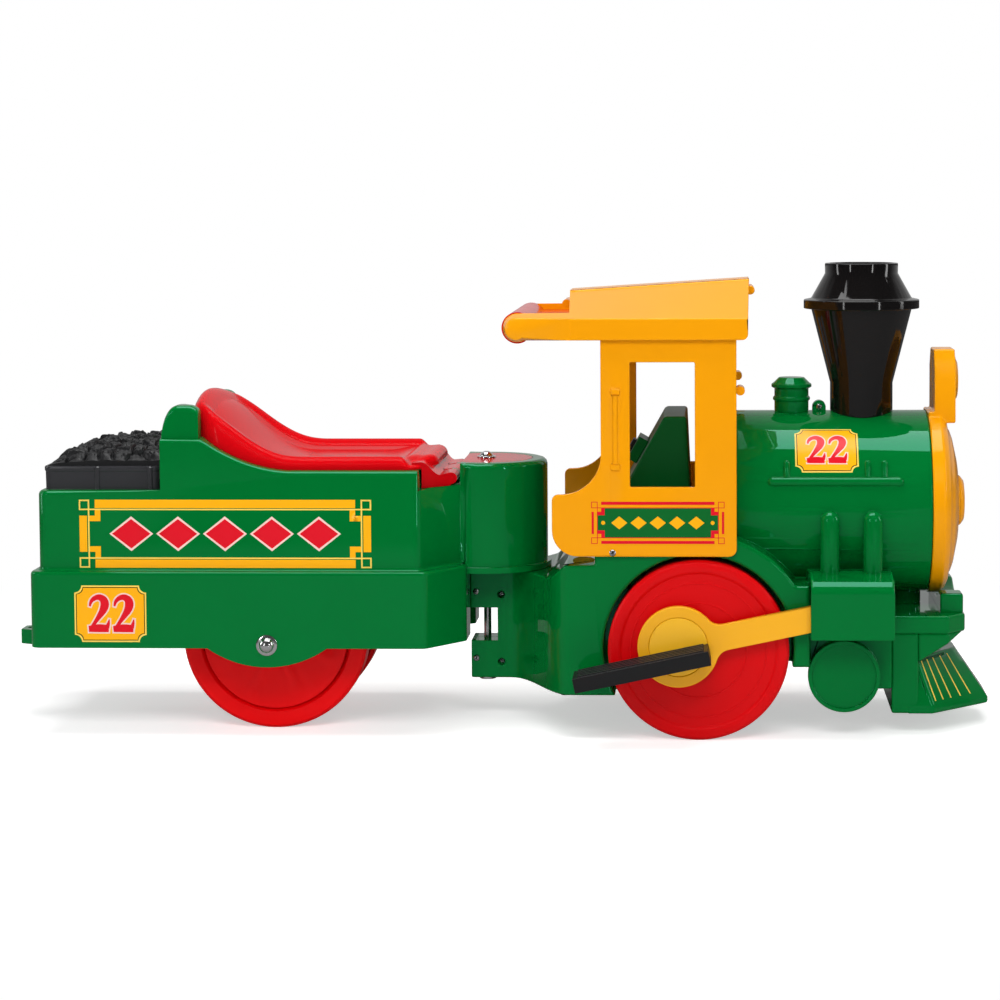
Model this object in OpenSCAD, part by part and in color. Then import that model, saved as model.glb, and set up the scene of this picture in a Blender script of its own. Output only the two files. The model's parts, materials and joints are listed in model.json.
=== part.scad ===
// Ride-on train: a battery engine that pulls a tender with the rider's seat.
// Millimetres. +X runs forwards, +Z up, and the origin lies on the floor under the middle of the train.

/* [Running gear] */
// Diameter of the front wheels
wheel_d = 236; // [216:1:250]
// Diameter of the rear wheels
rear_wheel_d = 247; // [232:1:254]
// Width of a wheel
wheel_w = 44; // [36:1:50]
// Thickness of a wheel's rim and web
wheel_wall = 6; // [4:0.5:8]
// Distance over the outer faces of the front wheels
front_track = 320; // [310:1:332]
// Distance over the outer faces of the rear wheels
rear_track = 186; // [160:1:200]
// Diameter of both axles
axle_d = 12; // [9:0.5:14]
// From the hitch pin forwards to the front axle
engine_base = 288; // [280:1:300]
// From the hitch pin back to the rear axle
tender_base = 277; // [265:1:290]
// Radial running clearance of every shaft and pin
run_fit = 0.05; // [0.02:0.01:0.1]
// Gap left between pieces that rest on each other but move apart
rest_gap = 0.3; // [0.2:0.05:0.5]

/* [Rods] */
// Throw of the eccentrics that drive the rods
crank_r = 27; // [20:0.5:30]
// Where the eccentric stands at rest, counted from straight ahead
crank_angle = 164; // [150:1:180]
// Diameter of an eccentric
eccentric_d = 76; // [68:1:84]
// Width of the ring of a rod's big end
eye_ring = 15; // [12:0.5:18]
// Thickness of a rod
rod_t = 10; // [8:0.5:12]
// Height of a rod's bar
rod_h = 34; // [28:1:36]
// Length from the big end's centre to the rod's tail
rod_reach = 189; // [182:1:196]
// Slope of the rods
rod_angle = 12; // [8:0.5:14]
// Gap between a wheel's face and its rod
rod_gap = 6; // [5:0.5:8]
// Length of a footrest
footrest_l = 178; // [160:1:190]
// Depth of a footrest, out from its rod
footrest_w = 56; // [40:1:64]
// Height of a footrest
footrest_h = 21; // [16:1:24]

/* [Engine] */
// Width over the wheel arches
engine_w = 308; // [302:1:312]
// Height of the cab's deck
deck_z = 229; // [224:1:236]
// Height of the underside of the rear chassis
chassis_z = 57; // [52:1:60]
// Diameter of the boiler
boiler_d = 244; // [230:1:252]
// Length of the boiler
boiler_l = 257; // [245:1:270]
// Height of the boiler's axis
boiler_z = 296; // [290:1:304]
// Thickness of the arch over a front wheel
arch_t = 28; // [22:1:32]
// Half width of the front chassis under the boiler
front_hw = 125; // [120:1:130]
// Height of the underside of the front chassis
front_z = 62; // [56:1:68]
// Diameter of the moulded pony wheel
pony_d = 94; // [84:1:100]
// Length of a rod guard
guard_l = 108; // [104:1:116]
// Wall of a rod guard
guard_t = 4; // [3:0.5:6]
// Height of a rod guard
guard_h = 84; // [80:1:90]

/* [Front] */
// Thickness of the smokebox front's rim
front_rim = 22; // [16:1:28]
// Height of the chimney above the boiler's top
chimney_h = 199; // [180:1:205]
// Diameter of the chimney at its foot
chimney_d = 84; // [76:1:92]
// Diameter over the chimney's flange
flange_d = 155; // [140:1:160]
// Reach of the pilot in front of the rod guards
pilot_l = 134; // [120:1:140]
// Height of the pilot above the floor
pilot_z = 28; // [22:1:34]

/* [Cab] */
// Length of the cab's side panels
cab_l = 240; // [232:1:250]
// Thickness of the side panels
panel_t = 7; // [5:0.5:8]
// Width of a side window
window_l = 84; // [70:1:90]
// Height of a side window
window_h = 162; // [140:1:170]
// Height of the roof's lower edge
eaves_z = 523; // [515:1:530]
// Height of the roof's band
band_h = 28; // [24:1:34]
// Wall of the roof
roof_t = 4; // [3:0.5:6]
// Width over the roof
roof_w = 338; // [332:1:344]
// Radius of the roll at the roof's rear edge
roll_r = 19; // [15:0.5:21]
// Travel of the drive button
button_travel = 3; // [2:0.5:4]

/* [Hitch] */
// Where the hitch pin stands, from the middle of the train
hitch_x = -17; // [-21:1:-13]
// Diameter of the hitch pin
hitch_d = 10; // [8:0.5:12]
// Half width of the hitch neck
neck_hw = 30; // [27:1:33]
// Radius of the tender's round nose
nose_r = 83; // [78:1:86]
// Height of the nose's underside
nose_z = 207; // [203:1:211]
// Height of the nose's top
nose_top = 354; // [348:1:358]

/* [Tender] */
// From the hitch pin back to the tender's rear face
tender_l = 591; // [580:1:600]
// Width over the tender's skirt
skirt_w = 320; // [312:1:328]
// Height of the skirt's lower edge
skirt_z = 119; // [114:1:124]
// Height of the ledge on top of the skirt
ledge_z = 220; // [214:1:226]
// Width of the ledge
ledge_w = 10; // [7:1:12]
// Wall of the tender
tender_t = 5; // [4:0.5:6]
// Height of the rear deck that carries the coal
coal_z = 326; // [320:1:332]
// Height of the deck that carries the seat
seat_z = 351; // [346:1:356]
// Height of the seat deck's raised rear end
rise_z = 394; // [388:1:400]
// Height of the hump behind the seat
hump_z = 437; // [430:1:442]
// Height of the seat's rims above its deck
rim_h = 15; // [12:1:18]
// Length of the battery
battery_l = 151; // [140:1:156]
// Width of the battery
battery_w = 50; // [44:1:54]
// Height of the battery
battery_h = 94; // [86:1:98]

/* [Gears] */
// Module of all gears
gear_module = 1.75; // [1.5:0.05:1.8]
// Teeth of the two small gears
small_teeth = 14; // [14:1:15]
// Teeth of the two large gears
large_teeth = 42; // [40:1:44]

/* [Hidden] */
$fn = 64;
far = 1000;

// Running gear
axle_z = wheel_d / 2;
rear_axle_z = rear_wheel_d / 2;
axle_r = axle_d / 2;
front_x = hitch_x + engine_base;
rear_x = hitch_x - tender_base;
wheel_y = front_track / 2;
wheel_in_y = wheel_y - wheel_w;
rear_y = rear_track / 2;
hub_r = axle_r + 14;
wheel_edge = 4;
wheel_lip = 18;
wheel_gap = 4;
well_gap = 8;
well_y = wheel_in_y - well_gap;
well_r = wheel_d / 2 + 6;
bush_r = axle_r + 5;
bush_flange = 4;
bush_flange_r = bush_r + 5;
spacer_r = axle_r + 5;
axle_cap_r = axle_r + 8;
axle_cap_h = 10;

// Rods
engine_hw = engine_w / 2;
eye_x = front_x + crank_r * cos(crank_angle);
eye_z = axle_z + crank_r * sin(crank_angle);
eccentric_r = eccentric_d / 2;
eccentric_flange = 6;
eye_r = eccentric_r + eye_ring;
eye_blend = 20;
rod_y0 = max(wheel_y, engine_hw) + rod_gap;
rod_y1 = rod_y0 + rod_t;
footrest_back = 139;
footrest_drop = 11.5;
footrest_rib = 2;

// Gears
mesh_r = gear_module * (small_teeth + large_teeth) / 2;
tip_add = 0.8 * gear_module;
root_drop = 1.1 * gear_module;
pressure_a = 25;
train_a = 150;
idler_x = front_x + mesh_r * cos(train_a);
idler_z = axle_z + mesh_r * sin(train_a);
motor_x = idler_x + mesh_r * cos(train_a);
motor_z = idler_z + mesh_r * sin(train_a);
gear_w = 12;
idler_r = 4;
motor_shaft_r = 2.5;
motor_r = 18;
motor_end_gap = 13;
plate_t = 5;
plate_in_y = 24;
plate_rise = 30;
pinion_y = [-20, -6];
idler_y = [-19, 18];
idler_step_y = -8;
final_y = 4;

// Engine
arch_r = well_r + arch_t;
arch_foot_z = axle_z - 23;
shoulder_z = axle_z + 84;
neck_back = hitch_x - 20;
neck_front = hitch_x + 33;
sweep_front = hitch_x + 121;
neck_top = nose_z - rest_gap;
nose_lip = 5;
ramp_x = hitch_x + nose_r + nose_lip + 3;
ramp_l = 24;
slot_z = [chassis_z + 51, neck_top - 54];
slot_front = hitch_x + 16;
cab_back = 98;
cab_x = hitch_x + cab_back;
cab_x1 = cab_x + cab_l;
boiler_r = boiler_d / 2;
boiler_x1 = cab_x1 + boiler_l;
boiler_top = boiler_z + boiler_r;
pony_x = front_x + 190;
pony_z = pilot_z + 6 + pony_d / 2;
pony_rim = 5;
pony_proud = 16;
arch_tuck = 7;
guard_x = front_x + arch_r - arch_tuck;
guard_x1 = guard_x + guard_l;
guard_top = axle_z + 102;
guard_foot = max(guard_top - guard_h, pony_z + pony_d / 2 + rest_gap);
guard_in_y = rod_y1 + 5;
guard_y = guard_in_y + guard_t;
guard_cap = 17.5;
guard_front_wall = 12;
pocket_y = min(front_hw + 20, rod_y0 - 5);
bay_wall = 8;
bay_hw = well_y - bay_wall;
bay_x = [front_x - 128, front_x + 62];
bay_z = [axle_z - gear_module * large_teeth / 2 - tip_add - 11, deck_z - bay_wall];
tub_z = min(chassis_z, bay_z[0] - bay_wall);
motor_l = bay_hw - plate_in_y - plate_t - motor_end_gap;
motor_y = -(plate_in_y + plate_t);
rail_r = 6;
rail_z = boiler_z + 38;
rail_x = [cab_x1 + 47, cab_x1 + 213];
valve_x = [66, 172, 194];
valve_r = 4;
valve_h = 24;
pipe_r = 13;
pipe_h = 72;
pipe_x = [27, 83];
pipe_y = boiler_r + 4;
screw_r = 2;
screw_head_r = 4.5;
screw_head_h = 2;
recess_r = 5;
recess_t = 8;
lug_x = cab_x1 + 113;
lug_r = 9;
lug_hw = 7;
lug_z = boiler_top + 5;

// Front
lamp_hw = 42;
lamp_x = boiler_x1 + 8;
lamp_l = 28;
lamp_z = [boiler_top - 14, boiler_top + 84];
lamp_slope = [16, 24];
lens_r = 32;
lens_z = boiler_top + 42;
boss_r = 34;
chimney_x = cab_x1 + 170;
chimney_t = 6;
chimney_foot_h = 38;
flange_z = boiler_top + 138;
dome_x = cab_x1 + 76;
dome_r = 23;
dome_h = 45;
beam_hw = front_hw - 3;
beam_z = [boiler_z - boiler_r - 40, boiler_z - boiler_r - 16];
beam_l = 98;
beam_cut = [24, 26];
pilot_hw = front_hw - 5;
pilot_block_l = 36;
plow_top = pilot_z + 72;
plow_tip_hw = 44;
plow_top_hw = 24;
step_l = 30;
step_h = 25;
step_hw = beam_hw - 30;
prop_x = boiler_x1 - 27.5;
prop_r = 20.5;

// Cab
panel_y = engine_hw;
panel_out_y = panel_y + panel_t;
panel_z = deck_z + 12;
lip_z = deck_z + 93;
scoop_r = 52;
heel_r = 34;
plinth_h = 33;
plinth_w = 48;
plinth_x = cab_x + 55;
ceiling_z = eaves_z + band_h - roof_t;
panel_top = ceiling_z;
post_x = cab_x + 64;
window_x = cab_x + 102;
window_z = deck_z + 103;
grab_x = post_x + 19;
grab_z = deck_z + 125;
grab_h = 106;
cab_screw_x = cab_x + 79;
cab_screw_z = panel_z + 5;
wall_t = 6;
pane_in_y = 18;
pane_edge = 41;
pane_h = 72;
pane_z = boiler_top + 14;
peg_r = 6;
peg_z = boiler_top + 38;
peg_y = [panel_y - 36, panel_y - 6];
roof_x = cab_x + 15.5;
roof_x1 = cab_x1 + 15;
roof_hw = roof_w / 2;
roof_rise = [30, 45];
lid_z = eaves_z + band_h;
crown_hw = 36;
bead_r = 6;
roll_x = cab_x - 45;
roll_z = eaves_z + roll_r - 4;
visor_r = roll_r + 1.5;
bead_z = [roll_z + visor_r + bead_r, lid_z + 31];
cheek_t = 10;
visor_t = 4;
console_hw = engine_hw - 69;
console_foot = cab_x + 73;
console_top_x = cab_x + 145;
console_top_l = 30;
console_top_z = deck_z + 188;
console_lip_z = deck_z + 61;
console_back_gap = 50;
slope_l = norm([console_top_x - console_foot, console_top_z - console_lip_z]);
slope_a = atan2(console_top_z - console_lip_z, console_top_x - console_foot);
housing_along = 0.58;
housing_l = 34;
housing_w = 60;
housing_h = 14;
button_l = 18;
button_w = 26;
button_h = 12;
button_fit = 0.3;
button_proud = 5;

// Hitch
hitch_r = hitch_d / 2;
hitch_boss_r = hitch_r + 8;
hitch_tail = 5;
nut_r = hitch_r + 8;
nut_h = 11;
cover_t = 6;
cover_r = nose_r - 20;
nose_back = hitch_x - 29;
nose_lip_h = 8;
knuckle_x = [hitch_x - 13, hitch_x + 21];
knuckle_screws = [[knuckle_x[0], neck_top - 32, 0], [knuckle_x[1], neck_top - 36, recess_t],
                  [knuckle_x[0], chassis_z + 27, 0], [knuckle_x[1], chassis_z + 22, recess_t]];

// Tender
plan_r = 14;
skirt_hw = skirt_w / 2;
box_hw = skirt_hw - ledge_w;
tender_x = hitch_x - tender_l;
box_x = tender_x + ledge_w;
corner_x = hitch_x - 69;
corner_front = hitch_x - 20;
corner_hw = skirt_hw - 63;
box_corner_x = hitch_x - 78;
box_front = hitch_x - 28;
box_front_hw = nose_r - 6;
notch_r = 46;
notch_z = min(seat_z - 26, nose_top - 29);
hump_x = hitch_x - 417;
hump_front = hitch_x - 382;
hump_hw = box_hw - 22;
hump_round = 30;
rise_front = hitch_x - 364;
rise_foot = hitch_x - 241;
axle_lug_r = 137;
axle_lug_drop = 29.5;
tongue_l = 50;
tongue_hw = 34;
tongue_tip_hw = 14;
tongue_h = 20;
tongue_z = skirt_z - tongue_h;
tongue_bore_r = 6;
tongue_bore_x = tender_x - 38;
tongue_plate = 8;
tongue_plate_z = skirt_z + 49;
tongue_lug_l = 29;
tongue_lug_hw = 28;
tongue_lug_z = [skirt_z + 20, skirt_z + 46];
coal_l = 148;
coal_hw = box_hw - 12;
coal_tray_h = 26;
coal_wall = 6;
coal_floor = 12;
coal_gap = 2;
heap_h = 30;
lump_h = 5;

// Seat and battery
seat_hw = box_hw - 15;
seat_back_x = hump_front + 1;
seat_front_x = box_corner_x + 2;
seat_top = hump_z + 9;
seat_pan = 6;
crest_x = seat_back_x + 14;
dish_l = 150;
rim_rise = 64;
rim_round = 7;
back_round = 14;
front_fall = 18;
pommel_h = 9;
pommel_l = 30;
pommel_drop = 25;
seat_pin_r = 3;
seat_pin_x = hitch_x - 41;
seat_pin_z = notch_z + 10;
seat_barrel_r = 8;
tab_hw = [118, 80];
tab_lap = 13;
seat_lug_y = 30;
seat_lug_t = 8;
seat_lug_gap = 0.5;
seat_slot_l = 14;
tray_t = 3;
tray_gap = 2;
tray_x = hitch_x - 124;
tray_lw = battery_w / 2 + tray_gap + tray_t;
tray_ww = battery_l / 2 + tray_gap + tray_t;
terminal_h = 6;

// A smooth step from 0 to 1
function ease(t) = (1 - cos(180 * t)) / 2;
function clamp(t) = max(0, min(1, t));
function smooth(t) = ease(clamp(t));

// The points of a smooth S from one point to another
function ease_points(a, b, steps) =
  [for (i = [0:steps]) [a[0] + (b[0] - a[0]) * i / steps, a[1] + (b[1] - a[1]) * ease(i / steps)]];

// The points of an arc
function arc_points(c, r, a0, a1, steps) =
  [for (i = [0:steps]) let (a = a0 + (a1 - a0) * i / steps) [c[0] + r * cos(a), c[1] + r * sin(a)]];

function flip_y(p) = [for (i = [len(p) - 1:-1:0]) [p[i][0], -p[i][1]]];

// The right side of the train lies towards -Y, the left side is its mirror image
module on_side(side) {
  mirror([0, side == "left" ? 1 : 0, 0]) children();
}

module both_sides() {
  on_side("right") children();
  on_side("left") children();
}

// An outline drawn in X and Z, given a thickness from y0 outwards to y1 on the right side
module slab(y0, y1) {
  translate([0, -y0, 0]) rotate([90, 0, 0]) linear_extrude(y1 - y0) children();
}

// An outline drawn in Y and Z, given a length from x0 forwards to x1
module along(x0, x1) {
  translate([x0, 0, 0]) rotate([90, 0, 90]) linear_extrude(x1 - x0) children();
}

// A round bar across the train, from y0 outwards to y1 on the right side
module cross_bar(x, z, r, y0, y1) {
  translate([x, -y0, z]) rotate([90, 0, 0]) cylinder(r = r, h = y1 - y0);
}

module box(low, high) {
  translate(low) cube(high - low);
}

// A closed body between two grids of points, the upper one first
module grid_body(top, base, nu, nv) {
  n = len(top);
  row = nv + 1;
  rim = concat([for (i = [0:nu - 1]) i * row], [for (j = [0:nv - 1]) nu * row + j],
               [for (i = [nu:-1:1]) i * row + nv], [for (j = [nv:-1:1]) j]);
  polyhedron(concat(top, base), concat(
    [for (i = [0:nu - 1]) for (j = [0:nv - 1]) let (a = i * row + j) each
      [[a, a + 1, a + row], [a + 1, a + row + 1, a + row]]],
    [for (i = [0:nu - 1]) for (j = [0:nv - 1]) let (a = n + i * row + j) each
      [[a, a + row, a + 1], [a + 1, a + row, a + row + 1]]],
    [for (k = [0:len(rim) - 1]) let (a = rim[k], b = rim[(k + 1) % len(rim)]) each
      [[a, b, a + n], [b, b + n, a + n]]]));
}

// Gear teeth with involute flanks, a little thin for backlash
function involute(a) = tan(a) * 180 / PI - a;
function flank_half(r, n) =
  let (pitch_r = gear_module * n / 2, base_r = pitch_r * cos(pressure_a), thinning = 6.4 / n)
  90 / n - thinning + involute(pressure_a) - (r > base_r ? involute(acos(base_r / r)) : 0);
module gear_outline(n, turn) {
  pitch_r = gear_module * n / 2;
  root_r = pitch_r - root_drop;
  tip_r = pitch_r + tip_add;
  radii = [for (i = [0:4]) root_r + (tip_r - root_r) * i / 4];
  polygon([for (k = [0:n - 1]) each
    concat([for (r = radii) let (a = turn + 360 * k / n - flank_half(r, n)) [r * cos(a), r * sin(a)]],
           [for (i = [4:-1:0]) let (r = radii[i], a = turn + 360 * k / n + flank_half(r, n))
             [r * cos(a), r * sin(a)]])]);
}

module gear(x, z, n, turn, y0, y1) {
  translate([x, 0, z]) slab(y0, y1) gear_outline(n, turn);
}

// Engine body, drawn whole and then split on its middle plane

// Plan of the hitch neck, which sweeps out to the full width
module neck_plan() {
  side = concat([[neck_back, neck_hw]], ease_points([neck_front, neck_hw], [sweep_front, engine_hw], 16),
                [[front_x, engine_hw]]);
  polygon(concat(side, flip_y(side)));
}

module neck_profile() {
  polygon([[neck_back, chassis_z], [front_x, chassis_z], [front_x, deck_z], [ramp_x + ramp_l, deck_z],
           [ramp_x, neck_top], [neck_back, neck_top]]);
}

// Chassis under the cab, and the arch over the front wheel that stands beside the boiler
module engine_sides() {
  slab(-engine_hw, engine_hw) union() {
    translate([sweep_front, chassis_z]) square([cab_x1 - sweep_front, deck_z - chassis_z]);
    translate([cab_x1 - 1, arch_foot_z]) square([guard_x - cab_x1 + 1, shoulder_z - arch_foot_z]);
    intersection() {
      translate([front_x, axle_z]) circle(r = arch_r);
      translate([cab_x1, arch_foot_z]) square([guard_x - cab_x1, far]);
    }
  }
}

// Boxes that carry the boiler in front of the wheels, and the tub of the drive bay
module engine_floor() {
  box([guard_x - 1, -front_hw, arch_foot_z], [guard_x1, front_hw, guard_top - 6]);
  box([pony_x, -front_hw, front_z], [guard_x1, front_hw, arch_foot_z + 1]);
  box([bay_x[0] - bay_wall, -well_y, tub_z], [bay_x[1] + bay_wall, well_y, arch_foot_z + 1]);
}

module boiler() {
  translate([cab_x1, 0, boiler_z]) rotate([0, 90, 0]) cylinder(r = boiler_r, h = boiler_l);
}

// Handrail and valves moulded on the boiler's side
module boiler_rail() {
  rail_y = sqrt(pow(boiler_r, 2) - pow(rail_z - boiler_z, 2));
  translate([rail_x[0], -rail_y, rail_z]) {
    rotate([0, 90, 0]) cylinder(r = rail_r, h = rail_x[1] - rail_x[0]);
    sphere(r = rail_r);
    translate([rail_x[1] - rail_x[0], 0, 0]) sphere(r = rail_r);
  }
  for (dx = valve_x) translate([cab_x1 + dx, valve_r - rail_y, rail_z]) {
    cylinder(r = valve_r, h = valve_h);
    translate([0, 0, valve_h]) sphere(r = valve_r);
  }
}

// The two upright pipes that stand on a rod guard
module steam_pipes() {
  for (dx = pipe_x) translate([guard_x + dx, -pipe_y, guard_top - 8]) {
    cylinder(r = pipe_r, h = pipe_h);
    translate([0, 0, pipe_h]) sphere(r = pipe_r);
  }
}

module pony_wheel() {
  web_r = pony_d / 2 - pony_rim;
  cross_bar(pony_x, pony_z, web_r, front_hw - 1, front_hw + pony_proud - 3);
  difference() {
    cross_bar(pony_x, pony_z, pony_d / 2, front_hw - 1, front_hw + pony_proud);
    cross_bar(pony_x, pony_z, web_r, front_hw, front_hw + pony_proud + 1);
  }
}

module engine_solid() {
  difference() {
    union() {
      intersection() {
        translate([0, 0, chassis_z]) linear_extrude(deck_z) neck_plan();
        slab(-engine_hw, engine_hw) neck_profile();
      }
      engine_sides();
      engine_floor();
      boiler();
      both_sides() {
        box([plinth_x, -engine_hw, deck_z - 1], [cab_x1, plinth_w - engine_hw, deck_z + plinth_h]);
        boiler_rail();
        steam_pipes();
        pony_wheel();
      }
      cross_bar(lug_x, lug_z, lug_r, -lug_hw, lug_hw);
      box([lug_x - lug_r, -lug_hw, boiler_top - 12], [lug_x + lug_r, lug_hw, lug_z]);
    }
    both_sides() {
      cross_bar(front_x, axle_z, well_r, well_y, far);
      cross_bar(front_x, axle_z, bush_r, 0, far);
    }
    box([bay_x[0], -bay_hw, bay_z[0]], [bay_x[1], bay_hw, bay_z[1]]);
    box([neck_back - 1, -far, slot_z[0]], [slot_front, far, slot_z[1]]);
    translate([hitch_x, 0, 0]) cylinder(r = hitch_r, h = far);
    for (s = knuckle_screws) {
      cross_bar(s[0], s[1], screw_r, -far, far);
      if (s[2] > 0) cross_bar(s[0], s[1], recess_r, neck_hw - s[2], far);
    }
    cross_bar(lug_x, lug_z, screw_r, -far, far);
  }
}

module engine_half(side) {
  color("forestgreen") intersection() {
    engine_solid();
    on_side(side) box([-far, -far, -far], [far, 0, far]);
  }
}

// A hood over the rod's tail with a sloping shoulder, open behind and below
module rod_guard(side) {
  color("forestgreen") on_side(side) difference() {
    along(guard_x, guard_x1) polygon([[-front_hw, guard_foot], [-front_hw, guard_top - 2],
      [9 - guard_y, guard_top - 9], [-guard_y, guard_top - 18], [-guard_y, guard_foot]]);
    box([guard_x - 1, -guard_in_y, -1], [guard_x1 - guard_front_wall, -pocket_y, guard_top - guard_cap]);
    steam_pipes();
  }
}

module shell_screws() {
  color("silver") {
    for (s = knuckle_screws) shell_screw(s[0], s[1], neck_hw - s[2], neck_hw);
    shell_screw(lug_x, lug_z, lug_hw, lug_hw);
  }
}

// A screw across the two halves, with its head on the right side at y0
module shell_screw(x, z, y0, depth) {
  cross_bar(x, z, screw_r, 3 - depth, y0);
  cross_bar(x, z, screw_head_r, y0, y0 + screw_head_h);
}

// Door, rim and boss are one turned form, with the headlamp standing on it
module smokebox_front() {
  color("orange") {
    translate([boiler_x1, 0, boiler_z]) rotate([0, 90, 0]) rotate_extrude()
      polygon([[0, 0], [boiler_r + 2, 0], [boiler_r + 2, front_rim - 6], [boiler_r - 4, front_rim],
               [boiler_r - 10, front_rim + 3], [boiler_r - 22, front_rim + 5],
               [boiler_r - 26, front_rim + 8], [boiler_r - 34, front_rim + 11],
               [boiler_r / 2, front_rim + 17], [boss_r, front_rim + 19],
               [boss_r, front_rim + 23], [boss_r - 7, front_rim + 28], [0, front_rim + 30]]);
    along(lamp_x, lamp_x + lamp_l)
      polygon([[-lamp_hw, lamp_z[0]], [lamp_hw, lamp_z[0]], [lamp_hw, lamp_z[1] - lamp_slope[1]],
               [lamp_hw - lamp_slope[0], lamp_z[1]], [lamp_slope[0] - lamp_hw, lamp_z[1]],
               [-lamp_hw, lamp_z[1] - lamp_slope[1]]]);
    box([boiler_x1, -lamp_hw, boiler_z], [lamp_x + 1, lamp_hw, boiler_top + 1]);
    translate([lamp_x + lamp_l, 0, lens_z]) rotate([0, 90, 0]) rotate_extrude()
      polygon([[0, -1], [lens_r, -1], [lens_r, 1], [lens_r - 8, 5], [0, 7]]);
  }
}

// Funnel with a flange, hollow from the top down to its waist
module chimney() {
  foot_r = chimney_d / 2;
  flange_r = flange_d / 2;
  top_r = foot_r + 7;
  bore_r = top_r - chimney_t;
  waist_z = boiler_top + chimney_foot_h;
  top = boiler_top + chimney_h;
  color("black") difference() {
    translate([chimney_x, 0, 0]) rotate_extrude()
      polygon([[0, boiler_top - 20], [foot_r, boiler_top - 20], [foot_r, waist_z], [flange_r - 10, flange_z],
               [flange_r, flange_z], [flange_r, flange_z + 12], [flange_r - 10, flange_z + 14],
               [top_r, top - 14], [top_r, top], [bore_r, top], [bore_r, top - 16],
               [flange_r - 18, flange_z + 6], [foot_r - chimney_t, waist_z + 6], [0, waist_z + 6]]);
    boiler();
  }
}

module steam_dome() {
  cap_r = dome_r + 4;
  top = boiler_top + dome_h;
  color("forestgreen") difference() {
    translate([dome_x, 0, 0]) rotate_extrude()
      polygon([[0, boiler_top - 8], [dome_r, boiler_top - 8], [dome_r, top - 32], [dome_r + 2, top - 30],
               [dome_r + 2, top - 27], [dome_r, top - 25], [dome_r, top - 15], [cap_r, top - 13],
               [cap_r, top - 9], [cap_r - 3, top - 7], [cap_r - 10, top], [0, top]]);
    boiler();
  }
}

// Plan of the beam, with its front corners cut off
module beam_plan(x0) {
  beam_front = x0 + beam_l;
  side = [[x0, beam_hw], [beam_front - beam_cut[0], beam_hw], [beam_front, beam_hw - beam_cut[1]]];
  polygon(concat(side, flip_y(side)));
}

// Plan of the plow at one height: straight cheeks, then faces that run in to its nose
module plow_plan(x0, hw, corner, tip, tip_hw) {
  side = [[x0 + 20, hw], [corner, hw], [tip, tip_hw]];
  polygon(concat(side, flip_y(side)));
}

// Cow catcher with the beam and step above it
module pilot() {
  x0 = guard_x1;
  x1 = guard_x1 + pilot_l;
  block_x = x0 + pilot_block_l;
  beam_front = x0 + beam_l;
  color("forestgreen") {
    translate([0, 0, beam_z[0]]) linear_extrude(beam_z[1] - beam_z[0]) beam_plan(x0);
    box([x0, -pilot_hw, pilot_z], [block_x, pilot_hw, beam_z[0] + 1]);
    intersection() {
      translate([0, 0, pilot_z]) linear_extrude(far) beam_plan(x0);
      slab(-pilot_hw, pilot_hw) polygon([[block_x - 1, plow_top - 4], [beam_front - 2, beam_z[0] + 1],
                                         [block_x - 1, beam_z[0] + 1]]);
    }
    hull() {
      translate([0, 0, pilot_z]) linear_extrude(8)
        plow_plan(x0, pilot_hw, x0 + 55, x1, plow_tip_hw);
      translate([0, 0, plow_top - 2]) linear_extrude(2)
        plow_plan(x0, pilot_hw - 8, x0 + 34.5, x0 + 92, plow_top_hw);
    }
    difference() {
      union() {
        box([beam_front - step_l - 2, -step_hw, beam_z[1] - 1],
            [beam_front - 2, step_hw, beam_z[1] + step_h]);
        translate([prop_x, 0, beam_z[1] - 1]) cylinder(r = prop_r, h = boiler_z - beam_z[1]);
      }
      boiler();
      translate([prop_x + prop_r, 0, boiler_z]) rotate([0, 90, 0]) cylinder(r = boiler_r + 6, h = far);
    }
  }
}

// Outline of a cab side, with the scooped entry behind the post and room for the wheel below
module cab_outline() {
  front_r = 10;
  lip_r = 8;
  difference() {
    polygon(concat(arc_points([cab_x + heel_r, panel_z + heel_r], heel_r, 180, 270, 10),
      arc_points([cab_x1 - front_r, panel_z + front_r], front_r, 270, 360, 5),
      [[cab_x1, panel_top], [post_x, panel_top]],
      arc_points([post_x - scoop_r, lip_z + scoop_r], scoop_r, 0, -90, 12),
      arc_points([cab_x + lip_r, lip_z - lip_r], lip_r, 90, 180, 4)));
    translate([window_x, window_z]) square([window_l, window_h]);
    translate([front_x, axle_z]) circle(r = wheel_d / 2 + wheel_gap);
  }
}

module cab_side(side) {
  color("orange") on_side(side) {
    difference() {
      slab(panel_y, panel_out_y) cab_outline();
      cross_bar(cab_screw_x, cab_screw_z, screw_r, panel_y - 1, panel_out_y + 1);
    }
    slab(panel_out_y - 1, panel_out_y + 3) translate([grab_x - 3, grab_z]) square([6, grab_h]);
    for (z = [grab_z, grab_z + grab_h - 8])
      slab(panel_out_y - 1, panel_out_y + 4) translate([grab_x - 6, z]) square([12, 8]);
  }
}

module cab_screws() {
  color("silver") both_sides() {
    cross_bar(cab_screw_x, cab_screw_z, screw_r, panel_y, panel_out_y);
    cross_bar(cab_screw_x, cab_screw_z, screw_head_r, panel_out_y, panel_out_y + screw_head_h);
  }
}

// The wall between cab and boiler, with two windows above the boiler and two pegs in front
module cab_front() {
  sill_z = deck_z + plinth_h;
  color("orange") {
    difference() {
      box([cab_x1 - wall_t, -panel_y, sill_z], [cab_x1, panel_y, panel_top]);
      both_sides() box([cab_x1 - wall_t - 1, pane_edge - panel_y, pane_z],
                       [cab_x1 + 1, -pane_in_y, pane_z + pane_h]);
    }
    box([cab_x1 - wall_t, plinth_w - panel_y, deck_z], [cab_x1, panel_y - plinth_w, sill_z + 1]);
    both_sides() cross_bar(cab_x1 + peg_r - 1, peg_z, peg_r, peg_y[0], peg_y[1]);
  }
}

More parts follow.
